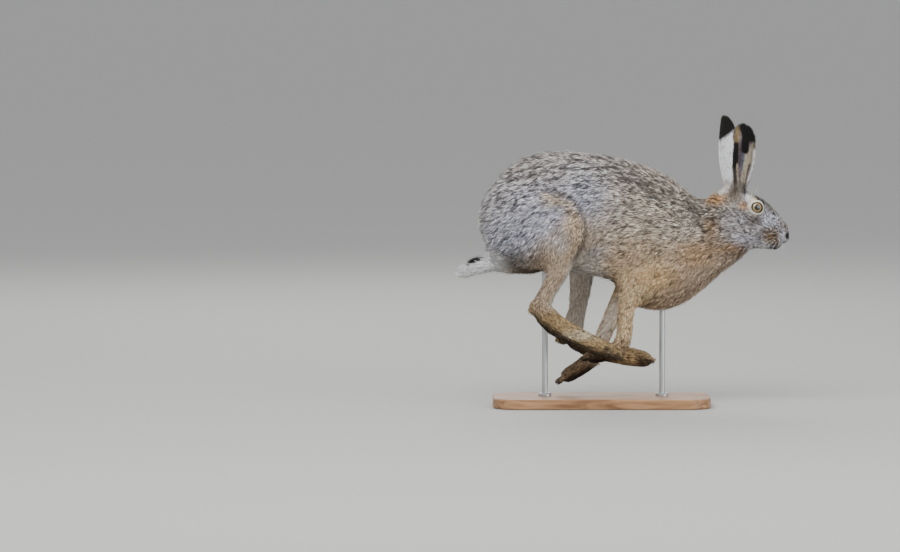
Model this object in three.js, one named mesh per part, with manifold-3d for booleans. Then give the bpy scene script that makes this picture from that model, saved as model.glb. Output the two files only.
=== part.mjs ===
// A brown hare at full gallop, gathered in mid-air with all four feet off the ground, on a display stand.
// Millimetres, +Z up. The hare faces +X and its right side faces -Y. The origin is the centre of the
// base's underside. Each outer surface is that of the coat. The trunk is one smooth field, parted by thin
// cuts, and the head and the limbs are skins pushed out from curves to fields of their own.
import * as THREE from 'three';
import { mergeVertices } from 'three/addons/utils/BufferGeometryUtils.js';
import Module from 'manifold-3d';

const wasm = await Module();
wasm.setup();

// Driving dimensions
const GAP = 0.3;              // left between neighbours
const SLIVER = 0.09;          // forms smaller than this are taken out after the cuts
const PINCH = 0.01;           // points of one body nearer than this are parted
const TRUNK_CELL = 14.5;      // spacing of the trunk's surface points
const BLEND = 14;             // how widely limbs run into the trunk
const HEAD_BLEND = 8;         // how widely cheeks, brows and ear roots run into the skull
const EAR_HALF_WIDTH = 26;    // of the ear laid flat
const EAR_THICKNESS = 2.6;
const EAR_WIDEST = 0.52;      // share of its length at which an ear is widest
const TIP_CROWDING = 1.5;     // how much closer an ear's rows of points stand towards its tip
const EYE_RADIUS = 10.2;
const LID_THICKNESS = 1.9;
const EYE_OPENING = { long: 9.7, high: 8.1, tilt: 0.3, depth: 24 };   // half sizes between the lids
const CLAW = { length: 9, radius: 1.5 };
const BASE = { length: 300, width: 124, thickness: 14, corner: 30, bevel: 1.5 };
const ROD = { radius: 4, collarRadius: 9, collarHeight: 4, frontX: 84, rearX: -78 };

// Places of the joints and landmarks, the right side's at negative Y
const at = (x, y, z) => new THREE.Vector3(x, y, z);
const trunkStations = [
  // place, radius in the plane of symmetry, share of it sideways
  [at(-96, 0, 252), 70, 0.70],
  [at(-80, 0, 272), 77, 0.64],
  [at(-21, 0, 266), 85, 0.61],
  [at(42, 0, 251), 84, 0.60],
  [at(78, 0, 231), 79, 0.58],
  [at(112, 0, 227), 61, 0.66],
  [at(142, 0, 231), 48, 0.76],
  [at(168, 0, 243), 41, 0.78],
  [at(190, 0, 250), 33, 0.78],
];
const brisketStations = [
  [at(56, 0, 170), 34, 0.82],
  [at(86, 0, 171), 39, 0.84],
  [at(117, 0, 187), 37, 0.86],
  [at(141, 0, 207), 34, 0.86],
  [at(180, 0, 229), 27, 0.86],
];
const rumpStations = [
  [at(-118, 0, 216), 34, 0.9],
  [at(-134, 0, 203), 19, 0.95],
  [at(-158, 0, 195), 13, 1.0],
];
const haunchStations = [
  [at(-116, -30, 262), 54, 0.58],
  [at(-88, -37, 252), 54, 0.56],
  [at(-62, -42, 243), 38, 0.68],
  [at(-46, -45, 237), 25, 0.86],
];
const hamstringStations = [
  [at(-122, -27, 236), 34, 0.66],
  [at(-92, -34, 226), 36, 0.66],
];
const shoulderStations = [
  [at(56, -26, 262), 36, 0.66],
  [at(84, -31, 224), 36, 0.62],
  [at(100, -30, 198), 32, 0.62],
  [at(72, -30, 180), 28, 0.72],
];
const legs = {
  right: {
    side: -1,
    kneeShift: at(0, 0, 2),
    shank: [
      [at(-46, -45, 239), 25, 0.86],
      [at(-54, -48, 216), 22.5, 0.80],
      [at(-61, -50, 190), 16.5, 0.84],
      [at(-74, -51, 163), 12.5, 0.86],
      [at(-85, -51, 141), 14, 0.78],
    ],
    heel: [[at(-85, -51, 141), 14, 0.76], [at(-93, -51, 138.5), 12, 0.8]],
    foot: [
      [at(-83, -51, 138), 15.5, 0.74],
      [at(-69, -51, 120), 15.5, 0.72],
      [at(-42, -50, 103), 14.5, 0.76],
      [at(-10, -49, 88), 12.5, 0.98],
      [at(10, -48, 79), 11.0, 1.20],
      [at(20, -48, 75), 8.0, 1.50],
    ],
    toeFrom: at(6, -48, 80),
    toeTo: at(29, -47.5, 70),
    forearm: [
      [at(52, -31, 181), 24, 0.72],
      [at(42, -31, 166), 18, 0.80],
      [at(36, -28, 148), 14.5, 0.86],
      [at(33, -25, 126), 12.6, 0.88],
      [at(31, -22, 101), 11.8, 0.92],
      [at(26, -20, 84), 12.6, 0.92],
    ],
    paw: [
      [at(27, -20, 84), 12.6, 0.90],
      [at(11, -19, 76), 11.6, 0.92],
      [at(-8, -18.5, 71.5), 10.6, 1.02],
      [at(-16, -18.5, 70), 8.5, 1.20],
    ],
    fingerFrom: at(-8, -18.5, 71.5),
    fingerTo: at(-29, -18.5, 66),
  },
  left: {
    side: 1,
    kneeShift: at(14, 0, -12),
    shank: [
      [at(-30, 45, 226), 25, 0.86],
      [at(-27, 48, 196), 22, 0.80],
      [at(-28, 50, 165), 16.5, 0.84],
      [at(-32, 51, 130), 13.5, 0.84],
      [at(-40, 51, 98), 15.5, 0.76],
    ],
    heel: [[at(-42, 51, 97), 14, 0.76], [at(-57, 51, 89), 9, 0.85]],
    foot: [
      [at(-42, 51, 97), 16.5, 0.72],
      [at(-22, 51, 81), 15.0, 0.72],
      [at(9, 50, 71), 13.8, 0.78],
      [at(40, 49, 64.5), 13.2, 0.94],
      [at(57, 48, 61.5), 11.5, 1.14],
      [at(66, 48, 60), 8.0, 1.50],
    ],
    toeFrom: at(54, 48, 62),
    toeTo: at(76, 47.5, 58),
    forearm: [
      [at(50, 31, 180), 24, 0.72],
      [at(38, 31, 164), 18, 0.80],
      [at(24, 27, 140), 14.2, 0.86],
      [at(10, 22, 110), 12.4, 0.88],
      [at(-3, 19, 82), 11.6, 0.92],
      [at(-10, 17, 66), 12.4, 0.92],
    ],
    paw: [
      [at(-9, 17, 67), 12.4, 0.90],
      [at(-27, 16, 53), 11.4, 0.92],
      [at(-42, 16, 43.5), 10.6, 1.02],
      [at(-49, 16, 39), 8.5, 1.20],
    ],
    fingerFrom: at(-42, 16, 43.5),
    fingerTo: at(-63, 16, 30),
  },
};
const headStations = [
  [at(160, 0, 252), 30, 0.78],
  [at(187, 0, 265), 30.5, 0.82],
  [at(206, 0, 263.5), 28.5, 0.85],
  [at(223.5, 0, 252.5), 24.5, 0.78],
  [at(239.5, 0, 242.5), 18.5, 0.84],
  [at(247.5, 0, 237.5), 14, 0.88],
];
const jawStations = [
  [at(182, 0, 244), 25, 0.86],
  [at(203, 0, 239), 21, 0.92],
  [at(228, 0, 229), 12, 1.0],
  [at(239, 0, 225), 8.6, 1.05],
];
const headLandmarks = {
  cheek: [at(203, -13, 246), 17],
  pad: [at(241, -9.5, 233.5), 10.5],
  brow: [at(205, -15, 285), 9],
  nape: [at(162, 0, 278), 19],
  earRootRight: [at(188, -12, 293), 14],
  earRootLeft: [at(177, 12, 292), 14],
  eye: at(211.4, -17.2, 275.4),
  eyeAxis: at(0.22, -0.97, 0.10),
  nostril: at(258, -6.6, 236),
  mouthCorner: at(232, 0, 219.8),
  mouthMiddle: at(244, 0, 222.6),
  mouthFront: at(267, 0, 230),
};
const ears = {
  right: { root: at(185, -12, 289), tip: at(194, -32, 389), back: at(-0.16, 0.97, 0.2), bow: -7 },
  left: { root: at(178, 12, 288), tip: at(173, 25, 399), back: at(-0.86, -0.5, 0.0), bow: 7 },
};
const tailStations = [
  [at(-132, 0, 203), 16, 0.95],
  [at(-150, 0, 198), 13.5, 1.1],
  [at(-168, 0, 195), 13.5, 1.15],
  [at(-186, 0, 187), 10.5, 1.15],
  [at(-196, 0, 181), 5, 1.1],
];

// Solids and geometries
const toSolid = (geometry) => {
  const bare = geometry.clone();
  bare.deleteAttribute('normal');
  bare.deleteAttribute('uv');
  const merged = mergeVertices(bare, 1e-4);
  return new wasm.Manifold(new wasm.Mesh({
    numProp: 3,
    vertProperties: new Float32Array(merged.attributes.position.array),
    triVerts: new Uint32Array(merged.index.array),
  }));
};

const largest = (solid) => solid.decompose().sort((a, b) => b.volume() - a.volume())[0];

function toGeometry(solid) {
  const { vertProperties, triVerts, numProp, numVert } = largest(largest(solid).simplify(SLIVER)).getMesh();
  const positions = new Float32Array(numVert * 3);
  for (let i = 0; i < numVert; i++) {
    positions.set(vertProperties.subarray(i * numProp, i * numProp + 3), i * 3);
  }
  const geometry = new THREE.BufferGeometry();
  geometry.setAttribute('position', new THREE.BufferAttribute(positions, 3));
  geometry.setIndex(new THREE.BufferAttribute(new Uint32Array(triVerts), 1));
  geometry.computeVertexNormals();
  partPinches(geometry);
  return geometry;
}

// Where two stretches of one surface touch at a point, each is drawn in a little, so that they stand apart
function partPinches(geometry) {
  const position = geometry.attributes.position, normal = geometry.attributes.normal;
  const places = new Map();
  for (let i = 0; i < position.count; i++) {
    const place = [position.getX(i), position.getY(i), position.getZ(i)];
    const key = place.map((v) => Math.round(v / PINCH)).join();
    if (!places.has(key)) places.set(key, []);
    places.get(key).push(i);
  }
  for (const shared of places.values()) {
    if (shared.length < 2) continue;
    for (const i of shared) {
      const point = at(0, 0, 0).fromBufferAttribute(position, i);
      point.addScaledVector(at(0, 0, 0).fromBufferAttribute(normal, i), -4 * PINCH);
      position.setXYZ(i, point.x, point.y, point.z);
    }
  }
}

// A geometry turned so that its +Y axis points along a direction, and moved to a place
function placed(geometry, place, direction = at(0, 1, 0)) {
  const turn = new THREE.Quaternion().setFromUnitVectors(at(0, 1, 0), direction.clone().normalize());
  return geometry.applyQuaternion(turn).translate(place.x, place.y, place.z);
}

// Everything on the side of a plane that its normal points to, as a large box
function beyond(place, normal, shift = 0) {
  const size = 900;
  const n = normal.clone().normalize();
  const centre = place.clone().addScaledVector(n, size / 2 + shift);
  return toSolid(placed(new THREE.BoxGeometry(size, size, size), centre, n));
}

// A field is negative inside and roughly a distance outside. This one is a chain of balls of changing radius,
// flattened sideways, through stations that a smooth curve joins.
function chain(stations, stepsPerSpan = 4) {
  const centres = new THREE.CatmullRomCurve3(stations.map(([place]) => place));
  const sizes = new THREE.CatmullRomCurve3(stations.map(([, radius, flat]) => at(radius, flat, 0)));
  const count = (stations.length - 1) * stepsPerSpan;
  const balls = [];
  for (let i = 0; i <= count; i++) {
    const centre = centres.getPoint(i / count);
    const size = sizes.getPoint(i / count);
    balls.push({ x: centre.x, y: centre.y, z: centre.z, radius: size.x, flat: size.y });
  }
  return (x, y, z) => {
    let nearest = Infinity;
    for (let i = 0; i < count; i++) {
      const a = balls[i], b = balls[i + 1];
      const ux = b.x - a.x, uy = b.y - a.y, uz = b.z - a.z;
      const along = ((x - a.x) * ux + (y - a.y) * uy + (z - a.z) * uz) / (ux * ux + uy * uy + uz * uz);
      const t = Math.min(1, Math.max(0, along));
      const dx = x - a.x - t * ux;
      const dy = (y - a.y - t * uy) / (a.flat + t * (b.flat - a.flat));
      const dz = z - a.z - t * uz;
      nearest = Math.min(nearest, Math.hypot(dx, dy, dz) - a.radius - t * (b.radius - a.radius));
    }
    return nearest;
  };
}

const ball = (place, radius) => (x, y, z) => Math.hypot(x - place.x, y - place.y, z - place.z) - radius;

const mirrored = (place) => at(place.x, -place.y, place.z);

const mirroredStations = (stations) => stations.map(([place, ...sizes]) => [mirrored(place), ...sizes]);

const shifted = (stations, shift) => stations.map(([place, ...sizes], i) => [
  place.clone().addScaledVector(shift, i / (stations.length - 1)), ...sizes]);

// A smooth union, in which fields nearer than the blend run into each other
function blended(blend, ...fields) {
  return (x, y, z) => {
    let value = fields[0](x, y, z);
    for (let i = 1; i < fields.length; i++) {
      const other = fields[i](x, y, z);
      const share = Math.max(blend - Math.abs(value - other), 0) / blend;
      value = Math.min(value, other) - share * share * blend / 4;
    }
    return value;
  };
}

// A closed surface of even quads through a field's zero set, one point in each cell that the surface crosses
function surfaceOf(field, low, high, cell) {
  const nx = Math.ceil((high.x - low.x) / cell) + 1;
  const ny = Math.ceil((high.y - low.y) / cell) + 1;
  const nz = Math.ceil((high.z - low.z) / cell) + 1;
  const index = (i, j, k) => i + nx * (j + ny * k);
  const values = new Float64Array(nx * ny * nz);
  for (let k = 0; k < nz; k++) for (let j = 0; j < ny; j++) for (let i = 0; i < nx; i++) {
    const edge = i === 0 || j === 0 || k === 0 || i === nx - 1 || j === ny - 1 || k === nz - 1;
    const value = field(low.x + i * cell, low.y + j * cell, low.z + k * cell);
    values[index(i, j, k)] = edge ? Math.max(value, cell / 2) : value;
  }
  const positions = [];
  const pointOf = new Map();
  const corners = [0, 1, 2, 3, 4, 5, 6, 7].map((c) => [c & 1, (c >> 1) & 1, c >> 2]);
  const edges = corners.flatMap((_, c) => [1, 2, 4].filter((bit) => !(c & bit)).map((bit) => [c, c | bit]));
  for (let k = 0; k < nz - 1; k++) for (let j = 0; j < ny - 1; j++) for (let i = 0; i < nx - 1; i++) {
    const v = corners.map(([a, b, c]) => values[index(i + a, j + b, k + c)]);
    let count = 0, x = 0, y = 0, z = 0;
    for (const [p, q] of edges) {
      if ((v[p] < 0) === (v[q] < 0)) continue;
      const t = v[p] / (v[p] - v[q]);
      x += corners[p][0] + t * (corners[q][0] - corners[p][0]);
      y += corners[p][1] + t * (corners[q][1] - corners[p][1]);
      z += corners[p][2] + t * (corners[q][2] - corners[p][2]);
      count++;
    }
    if (!count) continue;
    const point = at(i + x / count, j + y / count, k + z / count).multiplyScalar(cell).add(low);
    pullOnto(field, point, cell / 3);
    pointOf.set(index(i, j, k), positions.length / 3);
    positions.push(point.x, point.y, point.z);
  }
  const triangles = [];
  const quad = (a, b, c, d, outward) => {
    if (outward) triangles.push(a, b, c, a, c, d);
    else triangles.push(a, c, b, a, d, c);
  };
  for (let k = 1; k < nz - 1; k++) for (let j = 1; j < ny - 1; j++) for (let i = 1; i < nx - 1; i++) {
    const inside = values[index(i, j, k)] < 0;
    const back = (a, b, c) => pointOf.get(index(i - a, j - b, k - c));
    if (inside !== values[index(i + 1, j, k)] < 0) {
      quad(back(0, 1, 1), back(0, 0, 1), back(0, 0, 0), back(0, 1, 0), inside);
    }
    if (inside !== values[index(i, j + 1, k)] < 0) {
      quad(back(1, 0, 1), back(1, 0, 0), back(0, 0, 0), back(0, 0, 1), inside);
    }
    if (inside !== values[index(i, j, k + 1)] < 0) {
      quad(back(1, 1, 0), back(0, 1, 0), back(0, 0, 0), back(1, 0, 0), inside);
    }
  }
  const geometry = new THREE.BufferGeometry();
  geometry.setAttribute('position', new THREE.Float32BufferAttribute(positions, 3));
  geometry.setIndex(triangles);
  return geometry;
}

// Moves a point down or up the field's slope until it lies on the surface
function pullOnto(field, point, reach) {
  const start = point.clone();
  const step = 0.05;
  for (let round = 0; round < 3; round++) {
    const value = field(point.x, point.y, point.z);
    const slope = at(
      field(point.x + step, point.y, point.z) - value,
      field(point.x, point.y + step, point.z) - value,
      field(point.x, point.y, point.z + step) - value,
    ).divideScalar(step);
    point.addScaledVector(slope, -value / Math.max(slope.lengthSq(), 0.05));
  }
  const moved = point.clone().sub(start);
  if (moved.length() > reach) point.copy(start).addScaledVector(moved, reach / moved.length());
}

// How far a ray from inside runs before it leaves the field
function reachOf(field, from, direction) {
  const step = 1.5;
  let far = step;
  const valueAt = (d) => field(from.x + direction.x * d, from.y + direction.y * d, from.z + direction.z * d);
  while (valueAt(far) < 0 && far < 130) far += step;
  let near = far - step;
  for (let round = 0; round < 12; round++) {
    const middle = (near + far) / 2;
    if (valueAt(middle) < 0) near = middle;
    else far = middle;
  }
  return far;
}

// A closed skin round a curve: rings square to it, with each point pushed out to the field's surface
function loft(field, curve, { from = 0, to = 1, rings = 16, around = 14, tip = false }) {
  const positions = [];
  const triangles = [];
  const frameAt = (t) => {
    const along = curve.getTangent(t);
    const sideways = at(0, 1, 0).addScaledVector(along, -along.y).normalize();
    return { along, sideways, up: along.clone().cross(sideways), place: curve.getPoint(t) };
  };
  for (let ring = 0; ring < rings; ring++) {
    const share = ring / (rings - 1);
    const spaced = tip ? Math.sin(share * Math.PI / 2) * 0.5 + share * 0.5 : share;
    const frame = frameAt(from + (to - from) * (tip ? Math.min(spaced, 0.9999) : spaced));
    for (let spoke = 0; spoke < around; spoke++) {
      const angle = 2 * Math.PI * spoke / around;
      const direction = frame.sideways.clone().multiplyScalar(Math.cos(angle))
        .addScaledVector(frame.up, Math.sin(angle));
      const point = frame.place.clone().addScaledVector(direction, reachOf(field, frame.place, direction));
      positions.push(point.x, point.y, point.z);
    }
  }
  for (let ring = 0; ring < rings - 1; ring++) for (let spoke = 0; spoke < around; spoke++) {
    const a = ring * around + spoke, b = ring * around + (spoke + 1) % around;
    triangles.push(a, b, b + around, a, b + around, a + around);
  }
  const first = frameAt(from).place;
  const last = frameAt(to);
  if (tip) last.place.addScaledVector(last.along, reachOf(field, last.place, last.along));
  positions.push(first.x, first.y, first.z, last.place.x, last.place.y, last.place.z);
  const firstIndex = rings * around, lastIndex = firstIndex + 1, lastRing = (rings - 1) * around;
  for (let spoke = 0; spoke < around; spoke++) {
    const next = (spoke + 1) % around;
    triangles.push(firstIndex, next, spoke, lastIndex, lastRing + spoke, lastRing + next);
  }
  const geometry = new THREE.BufferGeometry();
  geometry.setAttribute('position', new THREE.Float32BufferAttribute(positions, 3));
  geometry.setIndex(triangles);
  return geometry;
}

const curveOf = (stations) => new THREE.CatmullRomCurve3(stations.map(([place]) => place));

// The trunk with its haunches, shoulders, neck and the first stretch of each limb
const rightKnee = legs.right.kneeShift, leftKnee = legs.left.kneeShift;
const core = blended(BLEND,
  chain(trunkStations),
  chain(brisketStations),
  chain(shifted(haunchStations, rightKnee)),
  chain(shifted(mirroredStations(haunchStations), leftKnee)),
  chain(hamstringStations),
  chain(mirroredStations(hamstringStations)),
  chain(shoulderStations),
  chain(mirroredStations(shoulderStations)),
  ball(...headLandmarks.nape),
);
const SHANK_STUB = 3, FOREARM_STUB = 3;       // stations of a limb that the trunk's field takes in
const trunkField = blended(BLEND,
  core,
  chain(legs.right.shank.slice(0, SHANK_STUB)),
  chain(legs.left.shank.slice(0, SHANK_STUB)),
  chain(legs.right.forearm.slice(0, FOREARM_STUB)),
  chain(legs.left.forearm.slice(0, FOREARM_STUB)),
  chain(rumpStations),
);
const trunkSurface = (swell) => toSolid(surfaceOf(
  (x, y, z) => trunkField(x, y, z) - swell, at(-195, -95, 110), at(205, 95, 375), TRUNK_CELL));
const trunk = trunkSurface(0);

// The share of its curve at which each node starts, and at which the shank passes into the hind foot
const SHANK_CUT = 0.34, FOREARM_CUT = 0.28, TAIL_CUT = 0.12, HOCK_CUT = 0.82;

// A tube round a chain of stations, from a flat cut on
function tubeOf(stations, cut, options) {
  return toSolid(loft(chain(stations), curveOf(stations), { from: cut, ...options }));
}

// The round stretch past a limb's first cut, in which the trunk's surface belongs to the limb
function stretch({ stations, cut, reach, span }, swell = 0) {
  const curve = curveOf(stations);
  const along = curve.getTangent(cut);
  const middle = curve.getPoint(cut).addScaledVector(along, span / 2);
  return toSolid(placed(new THREE.CylinderGeometry(reach + swell, reach + swell, span, 24), middle, along));
}

// A limb past its first cut: its own tube and what the trunk's surface gives it
function rooted(name, tube) {
  const { stations, cut } = limbRoots[name];
  return tube.add(trunk.intersect(stretch(limbRoots[name])))
    .intersect(beyond(curveOf(stations).getPoint(cut), curveOf(stations).getTangent(cut), GAP));
}

const limbRoots = {};
for (const name of ['right', 'left']) {
  limbRoots[`shank_${name}`] = { stations: legs[name].shank, cut: SHANK_CUT, reach: 27, span: 80 };
  limbRoots[`forearm_${name}`] = { stations: legs[name].forearm, cut: FOREARM_CUT, reach: 23, span: 60 };
}
limbRoots.tail = { stations: tailStations, cut: TAIL_CUT, reach: 34, span: 60 };

const shankShape = { to: 0.985, rings: 10, around: 14 };
const forearmShape = { to: 0.985, rings: 10, around: 12 };
const tailShape = { to: 1, rings: 10, around: 12, tip: true };

// The haunch and the shoulder are parted from the torso by upright oval punches that stop short of the middle
const HAUNCH_OVAL = { centre: at(-90, 0, 249), long: 82, high: 57, tilt: 0.16, inner: 20 };
const SHOULDER_OVAL = { centre: at(76, 0, 222), long: 44, high: 74, tilt: 0.35, inner: 22 };
function oval({ centre, long, high, tilt, inner }, side, swell = 0) {
  const height = 90;
  const wall = new THREE.CylinderGeometry(1, 1, height, 40).scale(long + swell, 1, high + swell);
  return toSolid(wall.rotateY(tilt).translate(centre.x, side * (inner - swell + height / 2), centre.z));
}

const neckCut = { place: at(171, 0, 246.5), normal: at(0.85, 0, 0.53) };
const torsoCut = { place: at(134, 0, 230), normal: at(0.93, 0, 0.37) };

const flesh = new THREE.MeshStandardMaterial({ color: 0x8d7b66, roughness: 0.95, metalness: 0 });
const pale = new THREE.MeshStandardMaterial({ color: 0xb9b2a6, roughness: 0.95, metalness: 0 });
const rusty = new THREE.MeshStandardMaterial({ color: 0x9a7450, roughness: 0.95, metalness: 0 });
const amber = new THREE.MeshStandardMaterial({ color: 0x6b4f2a, roughness: 0.08, metalness: 0 });
const wood = new THREE.MeshStandardMaterial({ color: 0xa88963, roughness: 0.5, metalness: 0 });
const steel = new THREE.MeshStandardMaterial({ color: 0xb4b6b8, roughness: 0.3, metalness: 1 });

const hare = new THREE.Group();
function add(name, geometry, material) {
  const mesh = new THREE.Mesh(geometry, material);
  mesh.name = name;
  hare.add(mesh);
}

function trunkParts() {
  const whole = Object.values(limbRoots).reduce((solid, root) => solid.subtract(stretch(root, GAP)), trunk);
  const body = whole.subtract(beyond(torsoCut.place, torsoCut.normal));
  let torso = body;
  for (const name of ['right', 'left']) {
    const side = legs[name].side;
    add(`haunch_${name}`, toGeometry(body.intersect(oval(HAUNCH_OVAL, side))), flesh);
    add(`shoulder_${name}`, toGeometry(body.intersect(oval(SHOULDER_OVAL, side))), rusty);
    torso = torso.subtract(oval(HAUNCH_OVAL, side, GAP)).subtract(oval(SHOULDER_OVAL, side, GAP));
  }
  add('torso', toGeometry(torso), flesh);
  const neck = whole.intersect(beyond(torsoCut.place, torsoCut.normal, GAP))
    .subtract(beyond(neckCut.place, neckCut.normal));
  add('neck', toGeometry(neck), rusty);
}

// Toes side by side, each a capsule with a claw, joined to the end of a foot
function withToes(footSolid, from, to, { count, spread, radius, drop }) {
  const along = to.clone().sub(from);
  const length = along.length();
  const direction = along.clone().normalize();
  let joined = footSolid;
  for (let toe = 0; toe < count; toe++) {
    const share = count === 1 ? 0 : (toe / (count - 1)) * 2 - 1;
    const shorter = 1 - 0.13 * share * share;
    const lean = direction.clone().add(at(0, 0.10 * share, 0)).normalize();
    const start = from.clone().add(at(0, spread * share * 0.72, 0));
    const reach = length * shorter - radius;
    const capsule = new THREE.CapsuleGeometry(radius, reach, 2, 7);
    joined = joined.add(toSolid(placed(capsule, start.clone().addScaledVector(lean, reach / 2), lean)));
    const clawFrom = start.clone().addScaledVector(lean, reach + radius * 0.2);
    const clawLean = lean.clone().add(at(0, 0, -drop)).normalize();
    const claw = new THREE.ConeGeometry(CLAW.radius, CLAW.length, 5);
    joined = joined.add(toSolid(placed(claw, clawFrom.addScaledVector(clawLean, CLAW.length / 2), clawLean)));
  }
  return joined;
}

// Rounds the outside of a bent joint
function knuckle([place, radius, flat]) {
  const bulb = new THREE.SphereGeometry(radius, 12, 8).scale(1, flat, 1);
  return toSolid(bulb.translate(place.x, place.y, place.z));
}

function limb(name) {
  const leg = legs[name];
  const shank = rooted(`shank_${name}`, tubeOf(leg.shank, SHANK_CUT, shankShape));
  const shankCurve = curveOf(leg.shank);
  const hock = { place: shankCurve.getPoint(HOCK_CUT), normal: shankCurve.getTangent(HOCK_CUT) };
  const foot = tubeOf(leg.foot, 0.02, { to: 1, rings: 13, around: 12, tip: true });
  const heel = tubeOf(leg.heel, 0, { to: 1, rings: 5, around: 10, tip: true });
  const toed = withToes(shank.add(foot).add(heel).add(knuckle(leg.foot[0])), leg.toeFrom, leg.toeTo,
    { count: 4, spread: 12, radius: 5.2, drop: 0.25 });
  add(`shank_${name}`, toGeometry(shank.subtract(beyond(hock.place, hock.normal))), rusty);
  add(`hind_foot_${name}`, toGeometry(toed.intersect(beyond(hock.place, hock.normal, GAP))), rusty);

  const forearm = rooted(`forearm_${name}`, tubeOf(leg.forearm, FOREARM_CUT, forearmShape));
  const wrist = wristCut(leg);
  const paw = tubeOf(leg.paw, 0, { to: 1, rings: 10, around: 12, tip: true });
  const wholePaw = forearm.add(paw).add(knuckle(leg.forearm[leg.forearm.length - 1]));
  const fingered = withToes(wholePaw, leg.fingerFrom, leg.fingerTo,
    { count: 4, spread: 8.5, radius: 4.4, drop: -0.15 });
  add(`forearm_${name}`, toGeometry(forearm.subtract(beyond(wrist.place, wrist.normal))), rusty);
  add(`forepaw_${name}`, toGeometry(fingered.intersect(beyond(wrist.place, wrist.normal, GAP))), rusty);
}

function wristCut(leg) {
  const end = leg.forearm[leg.forearm.length - 1][0];
  const down = curveOf(leg.forearm).getTangent(1);
  const back = curveOf(leg.paw).getTangent(0.1);
  return { place: end, normal: down.add(back).normalize() };
}

// The eyeball, its socket, the lids round it and the opening between them. The right side mirrors the left.
function eyeSolids(side) {
  const place = mirrored(headLandmarks.eye);
  const axis = mirrored(headLandmarks.eyeAxis).normalize();
  const sphere = (radius) => toSolid(
    new THREE.SphereGeometry(radius, 16, 11).translate(place.x, place.y, place.z));
  const { long, high, tilt, depth } = EYE_OPENING;
  const window = new THREE.CylinderGeometry(1.22, 0.55, depth, 18).scale(long, 1, high).rotateY(tilt);
  const left = {
    ball: sphere(EYE_RADIUS),
    socket: sphere(EYE_RADIUS + GAP),
    lid: sphere(EYE_RADIUS + LID_THICKNESS),
    opening: toSolid(placed(window, place.clone().addScaledVector(axis, depth / 2), axis)),
  };
  if (side > 0) return left;
  return Object.fromEntries(Object.entries(left).map(([part, solid]) => [part, solid.mirror([0, 1, 0])]));
}

function headField() {
  const { cheek, pad, brow, nape, earRootRight, earRootLeft } = headLandmarks;
  const both = ([place, radius]) => [ball(place, radius), ball(mirrored(place), radius)];
  return blended(HEAD_BLEND,
    chain(headStations), chain(jawStations), chain(trunkStations.slice(-4)), chain(brisketStations.slice(-2)),
    ...both(cheek), ...both(pad), ...both(brow), ball(...nape), ball(...earRootRight), ball(...earRootLeft));
}

// One slit along the line of the lips, open at the front and at both sides
function mouthSlit() {
  const { mouthCorner, mouthMiddle, mouthFront } = headLandmarks;
  const thickness = 0.9;
  const line = new THREE.Shape();
  line.moveTo(mouthCorner.x, mouthCorner.z);
  line.quadraticCurveTo(mouthMiddle.x, mouthMiddle.z, mouthFront.x, mouthFront.z);
  line.lineTo(mouthFront.x, mouthFront.z + thickness);
  const cornerTop = mouthCorner.z + thickness * 0.6;
  line.quadraticCurveTo(mouthMiddle.x, mouthMiddle.z + thickness, mouthCorner.x, cornerTop);
  const depth = 80;
  const slit = new THREE.ExtrudeGeometry(line, { depth, bevelEnabled: false, curveSegments: 6 });
  return toSolid(slit.rotateX(Math.PI / 2).translate(0, depth / 2, 0));
}

function head() {
  const field = headField();
  const axis = curveOf([[at(158, 0, 246)], [at(190, 0, 257)], [at(222, 0, 246)], [at(250, 0, 235)]]);
  const net = { rings: 30, around: 26, tip: true };
  const skull = toSolid(loft(field, axis, net));
  let solid = skull.intersect(beyond(neckCut.place, neckCut.normal, GAP));
  for (const side of [-1, 1]) {
    const eye = eyeSolids(side);
    const lid = eye.lid.subtract(beyond(at(0, side * 12, 0), at(0, -side, 0)));
    solid = solid.add(lid).subtract(eye.socket).subtract(eye.opening);
    add(side < 0 ? 'eye_right' : 'eye_left', toGeometry(eye.ball), amber);
    const nostril = headLandmarks.nostril.clone().multiply(at(1, -side, 1));
    const pit = new THREE.SphereGeometry(1, 12, 8).scale(2.6, 2.2, 4.6).rotateY(0.55);
    solid = solid.subtract(toSolid(pit.translate(nostril.x, nostril.y, nostril.z)));
  }
  const cleft = toSolid(new THREE.BoxGeometry(14, 1, 14).translate(265, 0, 228));
  solid = solid.subtract(mouthSlit()).subtract(cleft);
  add('head', toGeometry(solid), flesh);
  return toSolid(loft((x, y, z) => field(x, y, z) - GAP, axis, net));
}

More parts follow.
